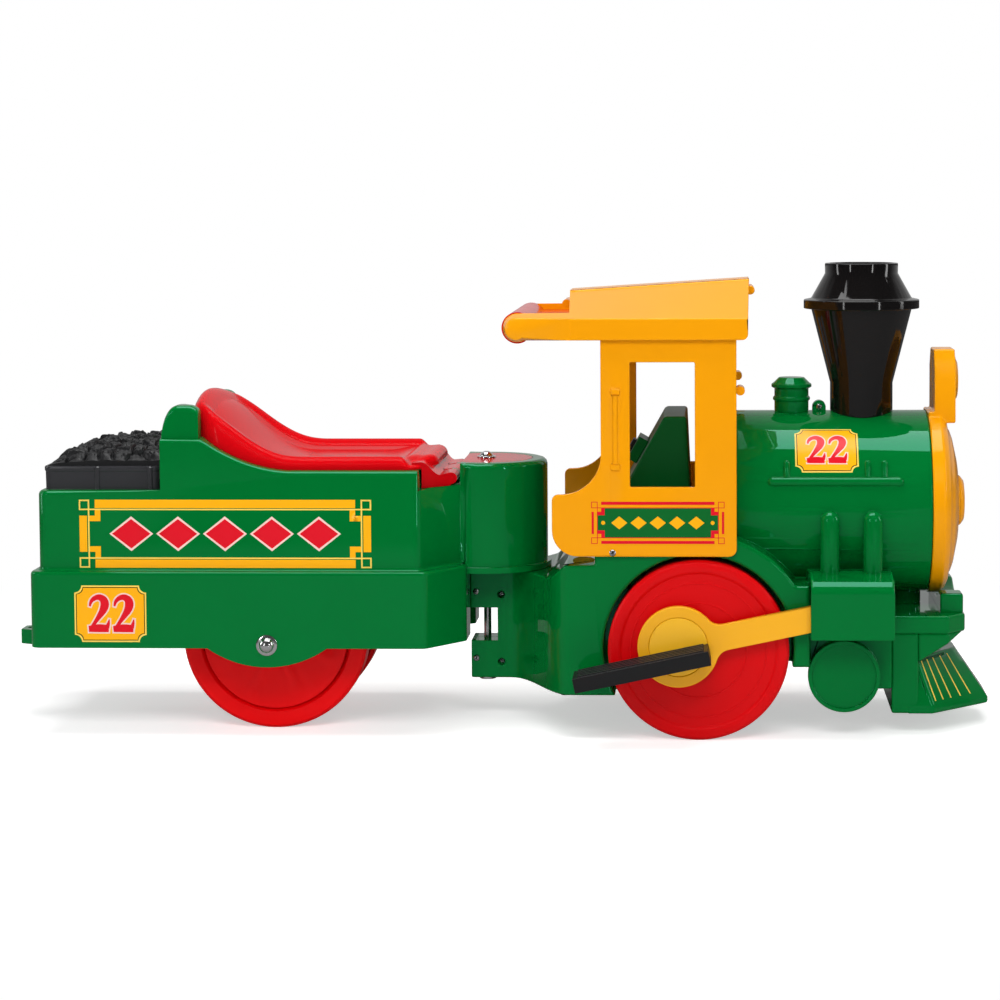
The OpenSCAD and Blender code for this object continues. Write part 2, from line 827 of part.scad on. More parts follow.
// Band, low hipped lid with a narrow crown, and the cheeks that hold the visor
module cab_roof() {
  color("orange") {
    difference() {
      box([roof_x, -roof_hw, eaves_z], [roof_x1, roof_hw, lid_z]);
      box([roof_x - 1, roof_t - roof_hw, eaves_z - 1], [roof_x1 - roof_t, roof_hw - roof_t, ceiling_z]);
    }
    hull() {
      box([roof_x, -roof_hw, lid_z - 1], [roof_x1, roof_hw, lid_z]);
      box([roof_x, -crown_hw, lid_z], [roof_x + 1, crown_hw, lid_z + roof_rise[0]]);
      box([roof_x1 - 1, -crown_hw, lid_z], [roof_x1, crown_hw, lid_z + roof_rise[1]]);
    }
    both_sides() slab(roof_hw - cheek_t, roof_hw) union() {
      translate([roll_x, roll_z]) circle(r = roll_r);
      translate([roll_x, eaves_z]) square([roof_x - roll_x, roll_z + roll_r - eaves_z]);
    }
    cross_bar(roof_x - bead_r + 1, bead_z[0], bead_r, -crown_hw, crown_hw);
    cross_bar(roof_x1 + bead_r - 1, bead_z[1], bead_r, -crown_hw, crown_hw);
  }
}

// The red sheet that closes the roof's rear end between the cheeks
module roof_visor() {
  hw = roof_hw - cheek_t - rest_gap;
  color("red") slab(-hw, hw) union() {
    difference() {
      translate([roll_x, roll_z]) circle(r = visor_r);
      translate([roll_x, roll_z]) circle(r = visor_r - visor_t);
      translate([roll_x + 6, roll_z - far]) square(2 * far);
      translate([roll_x, roll_z]) square(far);
    }
    translate([roll_x - 1, roll_z + visor_r - visor_t]) square([roof_x - roll_x + 1, visor_t]);
    translate([roll_x - 1, roll_z - visor_r]) square([8, visor_t]);
  }
}

module console_outline() {
  polygon([[console_foot, deck_z], [console_foot, console_lip_z], [console_top_x, console_top_z],
           [console_top_x + console_top_l, console_top_z], [cab_x1 - wall_t - console_back_gap, deck_z]]);
}

// Places a piece on the console's slope: X runs up the slope and Z out of it
module on_slope() {
  translate([console_foot, 0, console_lip_z]) rotate([0, -slope_a, 0])
    translate([slope_l * housing_along, 0, 0]) children();
}

module console() {
  color("green") difference() {
    slab(-console_hw, console_hw) console_outline();
    on_slope() box([-button_l / 2 - 1, -button_w / 2 - 1, -button_h],
                   [button_l / 2 + 1, button_w / 2 + 1, 1]);
  }
}

module button_housing() {
  color("green") on_slope() difference() {
    box([-housing_l / 2, -housing_w / 2, 0], [housing_l / 2, housing_w / 2, housing_h]);
    box([-button_l / 2, -button_w / 2, -1], [button_l / 2, button_w / 2, housing_h + 1]);
  }
}

module drive_button() {
  half = [button_l / 2 - button_fit, button_w / 2 - button_fit];
  color("black") on_slope()
    box([-half[0], -half[1], housing_h + button_proud - button_h - button_travel],
        [half[0], half[1], housing_h + button_proud]);
}

// Drive unit

// Two plates with spacers, standing on the floor of the drive bay
module gearbox_frame() {
  post_r = 5;
  ends = [front_x - 118, front_x + 40];
  top = motor_z + plate_rise;
  foot = [[ends[0], bay_z[0]], [ends[1], bay_z[0]], [ends[1], axle_z + 26],
          [front_x - 60, top], [ends[0], top]];
  posts = [[ends[0] + 10, bay_z[0] + 10], [ends[1] - 10, bay_z[0] + 10], [ends[0] + 10, top - 10]];
  color("dimgray") {
    difference() {
      both_sides() slab(plate_in_y, plate_in_y + plate_t) polygon(foot);
      cross_bar(front_x, axle_z, axle_r + 1, -far, far);
      cross_bar(idler_x, idler_z, idler_r + run_fit, -far, far);
      cross_bar(motor_x, motor_z, motor_shaft_r + 2, -far, far);
    }
    for (p = posts) cross_bar(p[0], p[1], post_r, -plate_in_y, plate_in_y);
  }
}

module motor() {
  collar_r = 6;
  collar_l = 3;
  shaft_l = 16;
  color("silver") difference() {
    union() {
      cross_bar(motor_x, motor_z, motor_r, motor_y - motor_l, motor_y);
      cross_bar(motor_x, motor_z, collar_r, motor_y - motor_l - collar_l, motor_y);
    }
    cross_bar(motor_x, motor_z, motor_shaft_r + run_fit, motor_y - shaft_l, motor_y + 1);
  }
}

module motor_pinion() {
  color("goldenrod") {
    gear(motor_x, motor_z, small_teeth, train_a + 180, pinion_y[0], pinion_y[1]);
    cross_bar(motor_x, motor_z, motor_shaft_r, motor_y - 15, pinion_y[1]);
  }
}

// Large gear towards the motor pinion, small gear towards the axle
module reduction_gear() {
  color("ivory") {
    gear(idler_x, idler_z, large_teeth, train_a + 180 / large_teeth, idler_y[0], idler_y[0] + gear_w);
    gear(idler_x, idler_z, small_teeth, train_a + 180 + 180 / small_teeth, idler_step_y, idler_y[1]);
    cross_bar(idler_x, idler_z, idler_r, -plate_in_y - plate_t, plate_in_y + plate_t);
  }
}

module final_gear() {
  hub = 6;
  color("ivory") difference() {
    union() {
      gear(front_x, axle_z, large_teeth, train_a, final_y, final_y + gear_w);
      cross_bar(front_x, axle_z, axle_r + hub, final_y - hub / 2, final_y + gear_w + hub / 2);
    }
    cross_bar(front_x, axle_z, axle_r, -far, far);
  }
}

// Wheels, axles and rods

module front_axle() {
  color("silver") cross_bar(front_x, axle_z, axle_r, -wheel_y, wheel_y);
}

module axle_bushes() {
  color("ivory") both_sides() difference() {
    union() {
      cross_bar(front_x, axle_z, bush_r, bay_hw, well_y + bush_flange);
      cross_bar(front_x, axle_z, bush_flange_r, well_y, well_y + bush_flange);
    }
    cross_bar(front_x, axle_z, axle_r + run_fit, 0, far);
  }
}

// Half section of a front wheel: radius, then distance in from its outer face
module front_wheel_section() {
  r = wheel_d / 2;
  boss = wheel_w + well_gap - bush_flange - rest_gap;
  face = 3;
  difference() {
    polygon([[0, face], [r - wheel_lip, face], [r - wheel_lip + 2, 1], [r - wheel_lip + 4, 0],
             [r - wheel_edge, 0], [r, wheel_edge], [r, wheel_w - wheel_edge], [r - 3, wheel_w],
             [hub_r, wheel_w], [hub_r, boss], [0, boss]]);
    translate([hub_r + 4, wheel_wall + 4]) square([r - wheel_wall - hub_r - 4, far]);
    square([axle_r, far]);
  }
}

module front_wheel(side) {
  color("red") on_side(side) translate([front_x, -wheel_y, axle_z]) rotate([-90, 0, 0])
    rotate_extrude($fn = 96) front_wheel_section();
}

// Carries the rod on the wheel's face
module eccentric(side) {
  color("orange") on_side(side) {
    cross_bar(eye_x, eye_z, eccentric_r, wheel_y, rod_y1 - 0.5);
    cross_bar(eye_x, eye_z, eccentric_r + eccentric_flange, wheel_y, rod_y0 - rest_gap);
  }
}

module rod_outline() {
  offset(-eye_blend) offset(eye_blend) union() {
    circle(r = eye_r);
    translate([0, -rod_h / 2]) square([rod_reach, rod_h]);
  }
}

module rod(side) {
  color("orange") on_side(side) difference() {
    translate([eye_x, 0, eye_z]) rotate([0, -rod_angle, 0]) slab(rod_y0, rod_y1) rod_outline();
    cross_bar(eye_x, eye_z, eccentric_r + run_fit, 0, far);
  }
}

// Ribbed step on the rod's big end
module footrest(side) {
  rib_w = 5;
  color("black") on_side(side) translate([eye_x, 0, eye_z]) rotate([0, -rod_angle, 0]) {
    translate([-footrest_back, 0, -footrest_drop]) {
      slab(rod_y1, rod_y1 + footrest_w) translate([0, -footrest_h / 2])
        square([footrest_l, footrest_h - footrest_rib]);
      for (k = [0:4]) let (y = rod_y1 + 4 + k * (footrest_w - 8 - rib_w) / 4)
        slab(y, y + rib_w) translate([6, footrest_h / 2 - footrest_rib - 1])
          square([footrest_l - 12, footrest_rib + 1]);
    }
  }
}

// Half section of a rear wheel
module rear_wheel_section() {
  r = rear_wheel_d / 2;
  difference() {
    polygon([[0, 0], [hub_r, 0], [hub_r + 4, 6], [r - 26, 9], [r - 22, 1], [r - wheel_edge, 0],
             [r, wheel_edge], [r, wheel_w - wheel_edge], [r - wheel_edge, wheel_w], [0, wheel_w]]);
    translate([hub_r + 4, wheel_wall + 12]) square([r - wheel_wall - hub_r - 4, far]);
    square([axle_r + run_fit, far]);
  }
}

module rear_wheel(side) {
  color("red") on_side(side) translate([rear_x, -rear_y, rear_axle_z]) rotate([-90, 0, 0])
    rotate_extrude($fn = 96) rear_wheel_section();
}

module rear_axle() {
  half = skirt_hw + 4;
  color("silver") cross_bar(rear_x, rear_axle_z, axle_r, -half, half);
}

module axle_caps() {
  r = axle_cap_r;
  color("silver") both_sides() translate([rear_x, -skirt_hw, rear_axle_z])
    rotate([90, 0, 0]) rotate_extrude()
      polygon([[0, 4], [axle_r, 4], [axle_r, 0], [r, 0], [r, 2], [r - 3, axle_cap_h - 4],
               [r - 8, axle_cap_h - 1], [0, axle_cap_h]]);
}

// Tubes that keep the rear wheels apart and clear of the skirt
module axle_spacers() {
  inner = rear_y - wheel_w - rest_gap;
  color("ivory") difference() {
    union() {
      both_sides() cross_bar(rear_x, rear_axle_z, spacer_r, rear_y + rest_gap, skirt_hw - tender_t);
      cross_bar(rear_x, rear_axle_z, spacer_r, -inner, inner);
    }
    cross_bar(rear_x, rear_axle_z, axle_r, -far, far);
  }
}

// Hitch

module hitch_pin() {
  z0 = chassis_z - hitch_tail;
  color("silver") translate([hitch_x, 0, z0]) cylinder(r = hitch_r, h = nose_top + 1 - z0);
}

module hitch_nut() {
  z0 = nose_top + rest_gap;
  pin_top = nose_top + 1;
  color("silver") translate([hitch_x, 0, 0]) rotate_extrude()
    polygon([[hitch_r, z0], [nut_r, z0], [nut_r, z0 + 2], [nut_r - 3, z0 + nut_h - 4],
             [nut_r - 8, z0 + nut_h - 1], [0, z0 + nut_h], [0, pin_top], [hitch_r, pin_top]]);
}

module hitch_cap() {
  h = hitch_tail + 1;
  color("silver") translate([hitch_x, 0, chassis_z - h]) difference() {
    cylinder(r = nut_r - 2, h = h);
    translate([0, 0, 1]) cylinder(r = hitch_r, h = h);
  }
}

// Tender

// Height of the deck under the seat, which sweeps up towards the back
function deck(x) =
  seat_z + (rise_z - seat_z) * pow(1 - clamp((x - rise_front) / (rise_foot - rise_front)), 2);

// Plan of the skirt or of the box above it, drawn in by a wall
module tender_plan(x0, hw, x1, front, front_hw, wall) {
  offset(delta = -wall) offset(plan_r) offset(-plan_r)
    polygon([[x0, -hw], [x1, -hw], [front, -front_hw], [front, front_hw], [x1, hw], [x0, hw]]);
}

// Side view of the box: coal deck, rise, seat deck and the notch in front of the seat
module tender_profile(wall) {
  steps = 20;
  polygon(concat([[box_x - 1, skirt_z], [box_x - 1, coal_z - wall], [hump_x + wall, coal_z - wall],
                  [hump_x + wall, rise_z - wall]],
    [for (i = [0:steps]) let (x = rise_front + (rise_foot - rise_front) * i / steps) [x, deck(x) - wall]],
    [[box_corner_x - wall, seat_z - wall], [box_corner_x - wall, notch_z - wall],
     [hitch_x, notch_z - wall], [hitch_x, skirt_z]]));
}

// The tender's outside with wall 0, or its inside with the wall's thickness
module tender_form(wall) {
  below = wall > 0 ? 1 : 0;
  translate([0, 0, skirt_z - below]) linear_extrude(ledge_z - skirt_z + below - wall)
    tender_plan(tender_x, skirt_hw, corner_x, corner_front, corner_hw, wall);
  intersection() {
    translate([0, 0, skirt_z]) linear_extrude(far)
      tender_plan(box_x, box_hw, box_corner_x, box_front, box_front_hw, wall);
    slab(-box_hw, box_hw) tender_profile(wall);
  }
}

module hump() {
  slab(-hump_hw, hump_hw) polygon(concat(
    arc_points([hump_x + hump_round, hump_z - hump_round], hump_round, 180, 90, 8),
    [[hump_front, hump_z], [hump_front, rise_z - 2], [hump_x, rise_z - 2]]));
}

// Drawbar at the back, with a bore for a wagon's pin and a lug above it
module tongue() {
  root = tender_x + tender_t;
  side = [[tender_x - tongue_l, tongue_tip_hw], [tender_x - tongue_plate, tongue_hw], [root, tongue_hw]];
  difference() {
    union() {
      translate([0, 0, tongue_z]) linear_extrude(tongue_h) polygon(concat(side, flip_y(side)));
      box([tender_x - tongue_plate, -tongue_hw, tongue_z], [root, tongue_hw, tongue_plate_z]);
      box([tender_x - tongue_lug_l, -tongue_lug_hw, tongue_lug_z[0]],
          [tender_x, tongue_lug_hw, tongue_lug_z[1]]);
    }
    translate([tongue_bore_x, 0, 0]) cylinder(r = tongue_bore_r, h = tongue_z + tongue_h + 1);
  }
}

module tender_body() {
  color("forestgreen") difference() {
    union() {
      difference() {
        union() {
          tender_form(0);
          hump();
          axle_lugs();
        }
        difference() {
          tender_form(tender_t);
          translate([hitch_x, 0, 0]) cylinder(r = notch_r + tender_t, h = nose_z);
        }
        translate([hitch_x, 0, 0]) cylinder(r = notch_r, h = nose_z);
      }
      nose();
      tongue();
      seat_lugs();
    }
    translate([hitch_x, 0, 0]) cylinder(r = hitch_r + run_fit, h = far);
    both_sides() cross_bar(rear_x, rear_axle_z, axle_r, 0, far);
    cross_bar(seat_pin_x, seat_pin_z, seat_pin_r, -far, far);
    box([tray_x - tray_lw, -tray_ww, seat_z - tender_t - 40], [tray_x + tray_lw, tray_ww, far]);
  }
}

// Half moons that hold the rear axle
module axle_lugs() {
  both_sides() slab(skirt_hw - tender_t, skirt_hw) intersection() {
    translate([rear_x, rear_axle_z - axle_lug_drop + axle_lug_r]) circle(r = axle_lug_r);
    translate([rear_x - far, skirt_z - far]) square([2 * far, far + 20]);
  }
}

// A round piece about the hitch pin, from z0 to z1 and cut off straight behind x0
module nose_disc(r, z0, z1, x0) {
  intersection() {
    translate([hitch_x, 0, z0]) cylinder(r = r, h = z1 - z0);
    box([x0, -far, z0], [far, far, z1]);
  }
}

// Round hollow nose with a lip below and a boss that turns on the hitch pin
module nose() {
  difference() {
    union() {
      nose_disc(nose_r, nose_z, notch_z, -far);
      nose_disc(nose_r + nose_lip, nose_z, nose_z + nose_lip_h, -far);
      nose_disc(nose_r, notch_z - 1, nose_top, nose_back);
    }
    nose_disc(nose_r - tender_t, nose_z + tender_t, notch_z - tender_t, -far);
    nose_disc(nose_r - tender_t, notch_z - tender_t - 1, nose_top - cover_t - 4, nose_back + tender_t);
    nose_disc(cover_r - 5, notch_z, nose_top, nose_back + tender_t);
    nose_disc(cover_r + rest_gap, nose_top - cover_t, nose_top + 1, -far);
  }
  nose_disc(hitch_boss_r, nose_z, nose_top - cover_t, -far);
}

// Two ears that hold the seat's pin, in slots of the seat's front
module seat_lugs() {
  both_sides() slab(seat_lug_y, seat_lug_y + seat_lug_t) union() {
    translate([seat_pin_x, seat_pin_z]) circle(r = seat_barrel_r);
    translate([seat_pin_x - seat_barrel_r, notch_z - 2])
      square([2 * seat_barrel_r, seat_pin_z - notch_z + 2]);
  }
}

module nose_cover() {
  color("red") difference() {
    nose_disc(cover_r, nose_top - cover_t, nose_top, nose_back);
    translate([hitch_x, 0, 0]) cylinder(r = hitch_r + 1, h = far);
  }
}

// Tray heaped with coal: the heap rises towards the hump in uneven lumps
function coal_height(u, v) =
  let (heap = 8 + heap_h * ease(min(1, 1.15 * u)) * (1 - 0.35 * pow(abs(2 * v - 1), 3)),
       lumps = lump_h * sin(1370 * u + 400 * v) * sin(1180 * v - 260 * u))
  max(2, heap + lumps);
module coal_heap(x0, l, hw, z0, nu, nv) {
  top = [for (i = [0:nu]) for (j = [0:nv]) let (u = i / nu, v = j / nv, edge = (u == 0 || v == 0 || v == 1))
    [x0 + l * u, hw * (2 * v - 1), z0 + (edge ? 1 : coal_height(u, v))]];
  grid_body(top, [for (p = top) [p[0], p[1], z0 - 6]], nu, nv);
}

module coal_load() {
  x0 = hump_x - coal_gap - coal_l;
  wall = coal_wall;
  color("black") {
    difference() {
      box([x0, -coal_hw, coal_z], [x0 + coal_l, coal_hw, coal_z + coal_tray_h]);
      box([x0 + wall, wall - coal_hw, coal_z + coal_floor],
          [x0 + coal_l - wall, coal_hw - wall, coal_z + coal_tray_h + 1]);
    }
    coal_heap(x0 + wall - 1, coal_l - 2 * wall + 2, coal_hw - wall + 1, coal_z + coal_floor + 5, 14, 24);
  }
}

// Saddle seat, a moulded sheet on the tender's deck: the dish along its middle, and the rims at its sides
function dish_z(x) =
  let (pan = seat_z + seat_pan)
  pan + (seat_top - pan) * pow(1 - clamp((x - crest_x) / dish_l), 4)
  + pommel_h * smooth((x - seat_front_x) / pommel_l + 1.1);
function rim_z(x) =
  seat_z + rim_h + rim_rise * pow(1 - clamp((x - crest_x + rim_round) / (dish_l - 11)), 2);

// Top of the seat at a distance x along it and a share v of its half width
function saddle_z(x, v) =
  let (base = deck(x) + rest_gap,
       z = dish_z(x) + (rim_z(x) - dish_z(x)) * smooth((v - 0.45) / 0.45)
           - rim_round * pow(max(0, (v - 0.93) / 0.07), 2)
           - back_round * pow(max(0, 1 - (x - seat_back_x) / back_round), 2),
       fall = smooth((v - 0.8) / 0.15) * pow(max(0, 1 - (seat_front_x - x) / front_fall), 2))
  z - fall * max(0, z - base - 2);

module saddle(nu, nv) {
  spots = [for (i = [0:nu]) for (j = [0:nv])
    [seat_back_x + (seat_front_x - seat_back_x) * ease(i / nu), -cos(180 * j / nv)]];
  grid_body([for (s = spots) [s[0], seat_hw * s[1], saddle_z(s[0], abs(s[1]))]],
            [for (s = spots) [s[0], seat_hw * s[1], deck(s[0]) + rest_gap]], nu, nv);
}

// The pommel and the tab that reaches down to the hinge pin
module seat_tab() {
  floor_z = notch_z + 2 * rest_gap;
  deck_top = seat_z + rest_gap;
  pommel_z = dish_z(seat_front_x);
  lap_x = seat_front_x - tab_lap;
  end_x = seat_pin_x + seat_barrel_r;
  side = [[lap_x, tab_hw[0]], [seat_front_x, tab_hw[0]], [end_x, tab_hw[1]]];
  intersection() {
    slab(-tab_hw[0], tab_hw[0]) union() {
      polygon(concat([[lap_x, deck_top + 0.2], [seat_front_x, deck_top + 0.2], [seat_front_x, floor_z],
                      [seat_pin_x, floor_z], [seat_pin_x, seat_pin_z + seat_barrel_r]],
        [for (i = [10:-1:0]) ease_points([seat_front_x - 1, pommel_z],
                                         [seat_pin_x - 12, pommel_z - pommel_drop], 10)[i]],
        [[lap_x, dish_z(lap_x) - 1]]));
      translate([seat_pin_x, seat_pin_z]) circle(r = seat_barrel_r);
    }
    translate([0, 0, notch_z]) linear_extrude(far) polygon(concat(side, flip_y(side)));
  }
}

module seat() {
  slot = [seat_lug_y - seat_lug_gap, seat_lug_y + seat_lug_t + seat_lug_gap];
  color("red") difference() {
    union() {
      saddle(20, 16);
      seat_tab();
    }
    both_sides() box([seat_pin_x - seat_slot_l, -slot[1], 0], [hitch_x, -slot[0], far]);
    cross_bar(seat_pin_x, seat_pin_z, seat_pin_r + run_fit, -far, far);
  }
}

module seat_pin() {
  half = tab_hw[1] - 2;
  color("silver") cross_bar(seat_pin_x, seat_pin_z, seat_pin_r, -half, half);
}

module battery_tray() {
  z0 = seat_z - battery_h - tray_t - terminal_h;
  color("dimgray") difference() {
    box([tray_x - tray_lw, -tray_ww, z0], [tray_x + tray_lw, tray_ww, seat_z]);
    box([tray_x - tray_lw + tray_t, tray_t - tray_ww, z0 + tray_t],
        [tray_x + tray_lw - tray_t, tray_ww - tray_t, seat_z + 1]);
  }
}

module battery() {
  z0 = seat_z - battery_h - terminal_h;
  half = battery_w / 2;
  post = 4;
  color("gray") {
    box([tray_x - half, -battery_l / 2, z0], [tray_x + half, battery_l / 2, z0 + battery_h - terminal_h]);
    for (y = [-0.35, 0.35]) box([tray_x - post, y * battery_l - post, z0],
                                [tray_x + post, y * battery_l + post, z0 + battery_h]);
  }
}

engine_half("right");  // engine_shell_right
engine_half("left");  // engine_shell_left
rod_guard("right");  // rod_guard_right
rod_guard("left");  // rod_guard_left
shell_screws();
smokebox_front();
chimney();
steam_dome();
pilot();
cab_side("right");  // cab_side_right
cab_side("left");  // cab_side_left
cab_screws();
cab_front();
cab_roof();
roof_visor();
console();
button_housing();
drive_button();
gearbox_frame();
motor();
motor_pinion();
reduction_gear();
final_gear();
front_axle();
axle_bushes();
front_wheel("right");  // front_wheel_right
front_wheel("left");  // front_wheel_left
eccentric("right");  // eccentric_right
eccentric("left");  // eccentric_left
rod("right");  // rod_right
rod("left");  // rod_left
footrest("right");  // footrest_right
footrest("left");  // footrest_left
hitch_pin();
hitch_nut();
hitch_cap();
tender_body();
nose_cover();
coal_load();
seat();
seat_pin();
battery_tray();
battery();
rear_axle();
axle_caps();
axle_spacers();
rear_wheel("right");  // rear_wheel_right
rear_wheel("left");  // rear_wheel_left
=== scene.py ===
"""A ride-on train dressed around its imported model: moulded plastic, printed plates, coal and chrome.

Shapes are worked out in millimetres in the frame of the part and put into metres when a mesh is made.
+X runs forwards, +Z up, and the near (right) side lies towards -Y.
"""
import json
import math

import bmesh
import bpy
import numpy as np
from mathutils import Euler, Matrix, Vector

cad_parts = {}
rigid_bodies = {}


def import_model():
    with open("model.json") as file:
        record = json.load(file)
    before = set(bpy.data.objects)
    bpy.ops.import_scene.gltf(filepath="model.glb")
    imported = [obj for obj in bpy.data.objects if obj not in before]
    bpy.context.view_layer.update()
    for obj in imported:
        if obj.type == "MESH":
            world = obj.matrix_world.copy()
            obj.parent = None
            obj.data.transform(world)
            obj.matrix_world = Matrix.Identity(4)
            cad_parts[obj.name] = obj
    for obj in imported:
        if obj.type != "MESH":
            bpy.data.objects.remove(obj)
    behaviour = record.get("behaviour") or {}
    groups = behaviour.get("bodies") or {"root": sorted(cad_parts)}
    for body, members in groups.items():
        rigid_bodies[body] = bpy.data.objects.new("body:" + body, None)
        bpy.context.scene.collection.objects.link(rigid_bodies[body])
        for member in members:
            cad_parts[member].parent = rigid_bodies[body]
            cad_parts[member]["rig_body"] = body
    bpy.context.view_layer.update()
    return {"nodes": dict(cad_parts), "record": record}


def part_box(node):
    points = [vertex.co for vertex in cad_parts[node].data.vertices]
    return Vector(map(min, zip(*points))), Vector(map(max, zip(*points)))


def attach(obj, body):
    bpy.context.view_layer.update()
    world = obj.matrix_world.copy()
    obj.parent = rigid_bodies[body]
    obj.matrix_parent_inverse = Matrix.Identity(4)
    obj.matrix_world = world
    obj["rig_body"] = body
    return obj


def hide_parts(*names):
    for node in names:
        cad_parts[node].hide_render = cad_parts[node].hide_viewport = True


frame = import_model()
nodes = frame["nodes"]
MM = 0.001

slot_of = {part["node"]: part["material_slot"] for part in frame["record"]["subparts"]}


def box_mm(node):
    """A node's lowest and highest corners in millimetres."""
    low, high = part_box(node)
    return np.array(low) / MM, np.array(high) / MM


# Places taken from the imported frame

coal_low, coal_high = box_mm("coal_load")
seat_low, seat_high = box_mm("seat")
front_wheel_low, front_wheel_high = box_mm("front_wheel_right")
rear_wheel_low, rear_wheel_high = box_mm("rear_wheel_right")
nut_low, nut_high = box_mm("hitch_nut")

front_axle_x, front_axle_z = (front_wheel_low[0] + front_wheel_high[0]) / 2, front_wheel_high[2] / 2
rear_axle_x, rear_axle_z = (rear_wheel_low[0] + rear_wheel_high[0]) / 2, rear_wheel_high[2] / 2

# Sizes of the mouldings

skirt_y = 160.0
box_y = 150.0
panel_y = 161.0
deck_top = 351.0
deck_rise_top = 394.0
deck_rise = (-381.0, -258.0)
boiler_r = 122.0
boiler_z = 296.0
seat_back, seat_front, seat_half = seat_low[0], -93.0, seat_high[1]
seat_back_r, seat_front_r = 46.0, 22.0


# Finishes

def node_group(name, inputs, outputs):
    """A shader group with named sockets; returns its tree and its input and output nodes."""
    tree = bpy.data.node_groups.new(name, "ShaderNodeTree")
    for label, kind, value in inputs:
        socket = tree.interface.new_socket(label, in_out="INPUT", socket_type="NodeSocket" + kind)
        socket.default_value = value
    for label, kind in outputs:
        tree.interface.new_socket(label, in_out="OUTPUT", socket_type="NodeSocket" + kind)
    return tree, tree.nodes.new("NodeGroupInput"), tree.nodes.new("NodeGroupOutput")


def feed(tree, value, socket):
    """Sets a socket to a number, or links another socket to it."""
    if isinstance(value, (int, float)):
        socket.default_value = value
    else:
        tree.links.new(value, socket)


def noise(tree, coords, scale, detail):
    node = tree.nodes.new("ShaderNodeTexNoise")
    node.inputs["Detail"].default_value = detail
    feed(tree, scale, node.inputs["Scale"])
    tree.links.new(coords, node.inputs["Vector"])
    return node.outputs["Fac"]


def ranged(tree, value, low, high, to_low=0.0, to_high=1.0, smooth=False):
    node = tree.nodes.new("ShaderNodeMapRange")
    if smooth:
        node.interpolation_type = "SMOOTHSTEP"
    for label, number in (("From Min", low), ("From Max", high), ("To Min", to_low), ("To Max", to_high)):
        node.inputs[label].default_value = number
    tree.links.new(value, node.inputs["Value"])
    return node.outputs["Result"]


def arithmetic(tree, operation, a, b):
    node = tree.nodes.new("ShaderNodeMath")
    node.operation = operation
    for socket, value in zip(node.inputs, (a, b)):
        feed(tree, value, socket)
    return node.outputs["Value"]


def stretched_place(tree, scale):
    """The object's own coordinates, scaled along each axis."""
    stretch = tree.nodes.new("ShaderNodeMapping")
    stretch.inputs["Scale"].default_value = scale
    tree.links.new(tree.nodes.new("ShaderNodeTexCoord").outputs["Object"], stretch.inputs["Vector"])
    return stretch.outputs["Vector"]


def moulding_group():
    """Moulded plastic: slow clouds of shade from the melt, a fine orange peel and faint handling smears."""
    tree, given, put = node_group(
        "moulded_skin",
        [("Color", "Color", (0.5, 0.5, 0.5, 1)), ("Cloud Color", "Color", (0.4, 0.4, 0.4, 1)),
         ("Roughness", "Float", 0.2), ("Smear", "Float", 0.08), ("Peel Scale", "Float", 260.0)],
        [("Color", "Color"), ("Roughness", "Float"), ("Height", "Float")])
    place = tree.nodes.new("ShaderNodeTexCoord").outputs["Object"]
    cloud = ranged(tree, noise(tree, place, 5.0, 3.0), 0.35, 0.7)
    mix = tree.nodes.new("ShaderNodeMix")
    mix.data_type = "RGBA"
    tree.links.new(cloud, mix.inputs["Factor"])
    tree.links.new(given.outputs["Color"], mix.inputs["A"])
    tree.links.new(given.outputs["Cloud Color"], mix.inputs["B"])
    tree.links.new(mix.outputs["Result"], put.inputs["Color"])
    smear = ranged(tree, noise(tree, place, 17.0, 6.0), 0.45, 0.75)
    rough = arithmetic(tree, "MULTIPLY", smear, given.outputs["Smear"])
    rough = arithmetic(tree, "ADD", rough, given.outputs["Roughness"])
    tree.links.new(rough, put.inputs["Roughness"])
    tree.links.new(noise(tree, place, given.outputs["Peel Scale"], 1.0), put.inputs["Height"])
    return tree


moulded_skin = moulding_group()


def new_material(name):
    """A new material with its node tree and its shader."""
    made = bpy.data.materials.new(name)
    made.use_nodes = True
    return made, made.node_tree, made.node_tree.nodes["Principled BSDF"]


def plastic(name, color, cloud, roughness, smear=0.04, peel_scale=260.0, peel=0.006, specular=0.5,
            tint=(1.0, 1.0, 1.0)):
    """A moulded plastic from the shared skin group, with its own colours, gloss and grain."""
    made, tree, shader = new_material(name)
    skin = tree.nodes.new("ShaderNodeGroup")
    skin.node_tree = moulded_skin
    for label, value in (("Color", (*color, 1)), ("Cloud Color", (*cloud, 1)), ("Roughness", roughness),
                         ("Smear", smear), ("Peel Scale", peel_scale)):
        skin.inputs[label].default_value = value
    tree.links.new(skin.outputs["Color"], shader.inputs["Base Color"])
    tree.links.new(skin.outputs["Roughness"], shader.inputs["Roughness"])
    bump = tree.nodes.new("ShaderNodeBump")
    bump.inputs["Strength"].default_value = peel
    bump.inputs["Distance"].default_value = 0.001
    tree.links.new(skin.outputs["Height"], bump.inputs["Height"])
    tree.links.new(bump.outputs["Normal"], shader.inputs["Normal"])
    shader.inputs["Specular IOR Level"].default_value = specular
    shader.inputs["Specular Tint"].default_value = (*tint, 1)
    return made


def metal(name, color, roughness):
    """Bright metal with fine drawn lines that vary its gloss."""
    drawn_lines = (40.0, 900.0, 40.0)
    made, tree, shader = new_material(name)
    lines = noise(tree, stretched_place(tree, drawn_lines), 1.0, 3.0)
    gloss = ranged(tree, lines, 0.2, 0.8, roughness * 0.7, roughness * 1.4)
    tree.links.new(gloss, shader.inputs["Roughness"])
    shader.inputs["Base Color"].default_value = (*color, 1)
    shader.inputs["Metallic"].default_value = 1.0
    return made


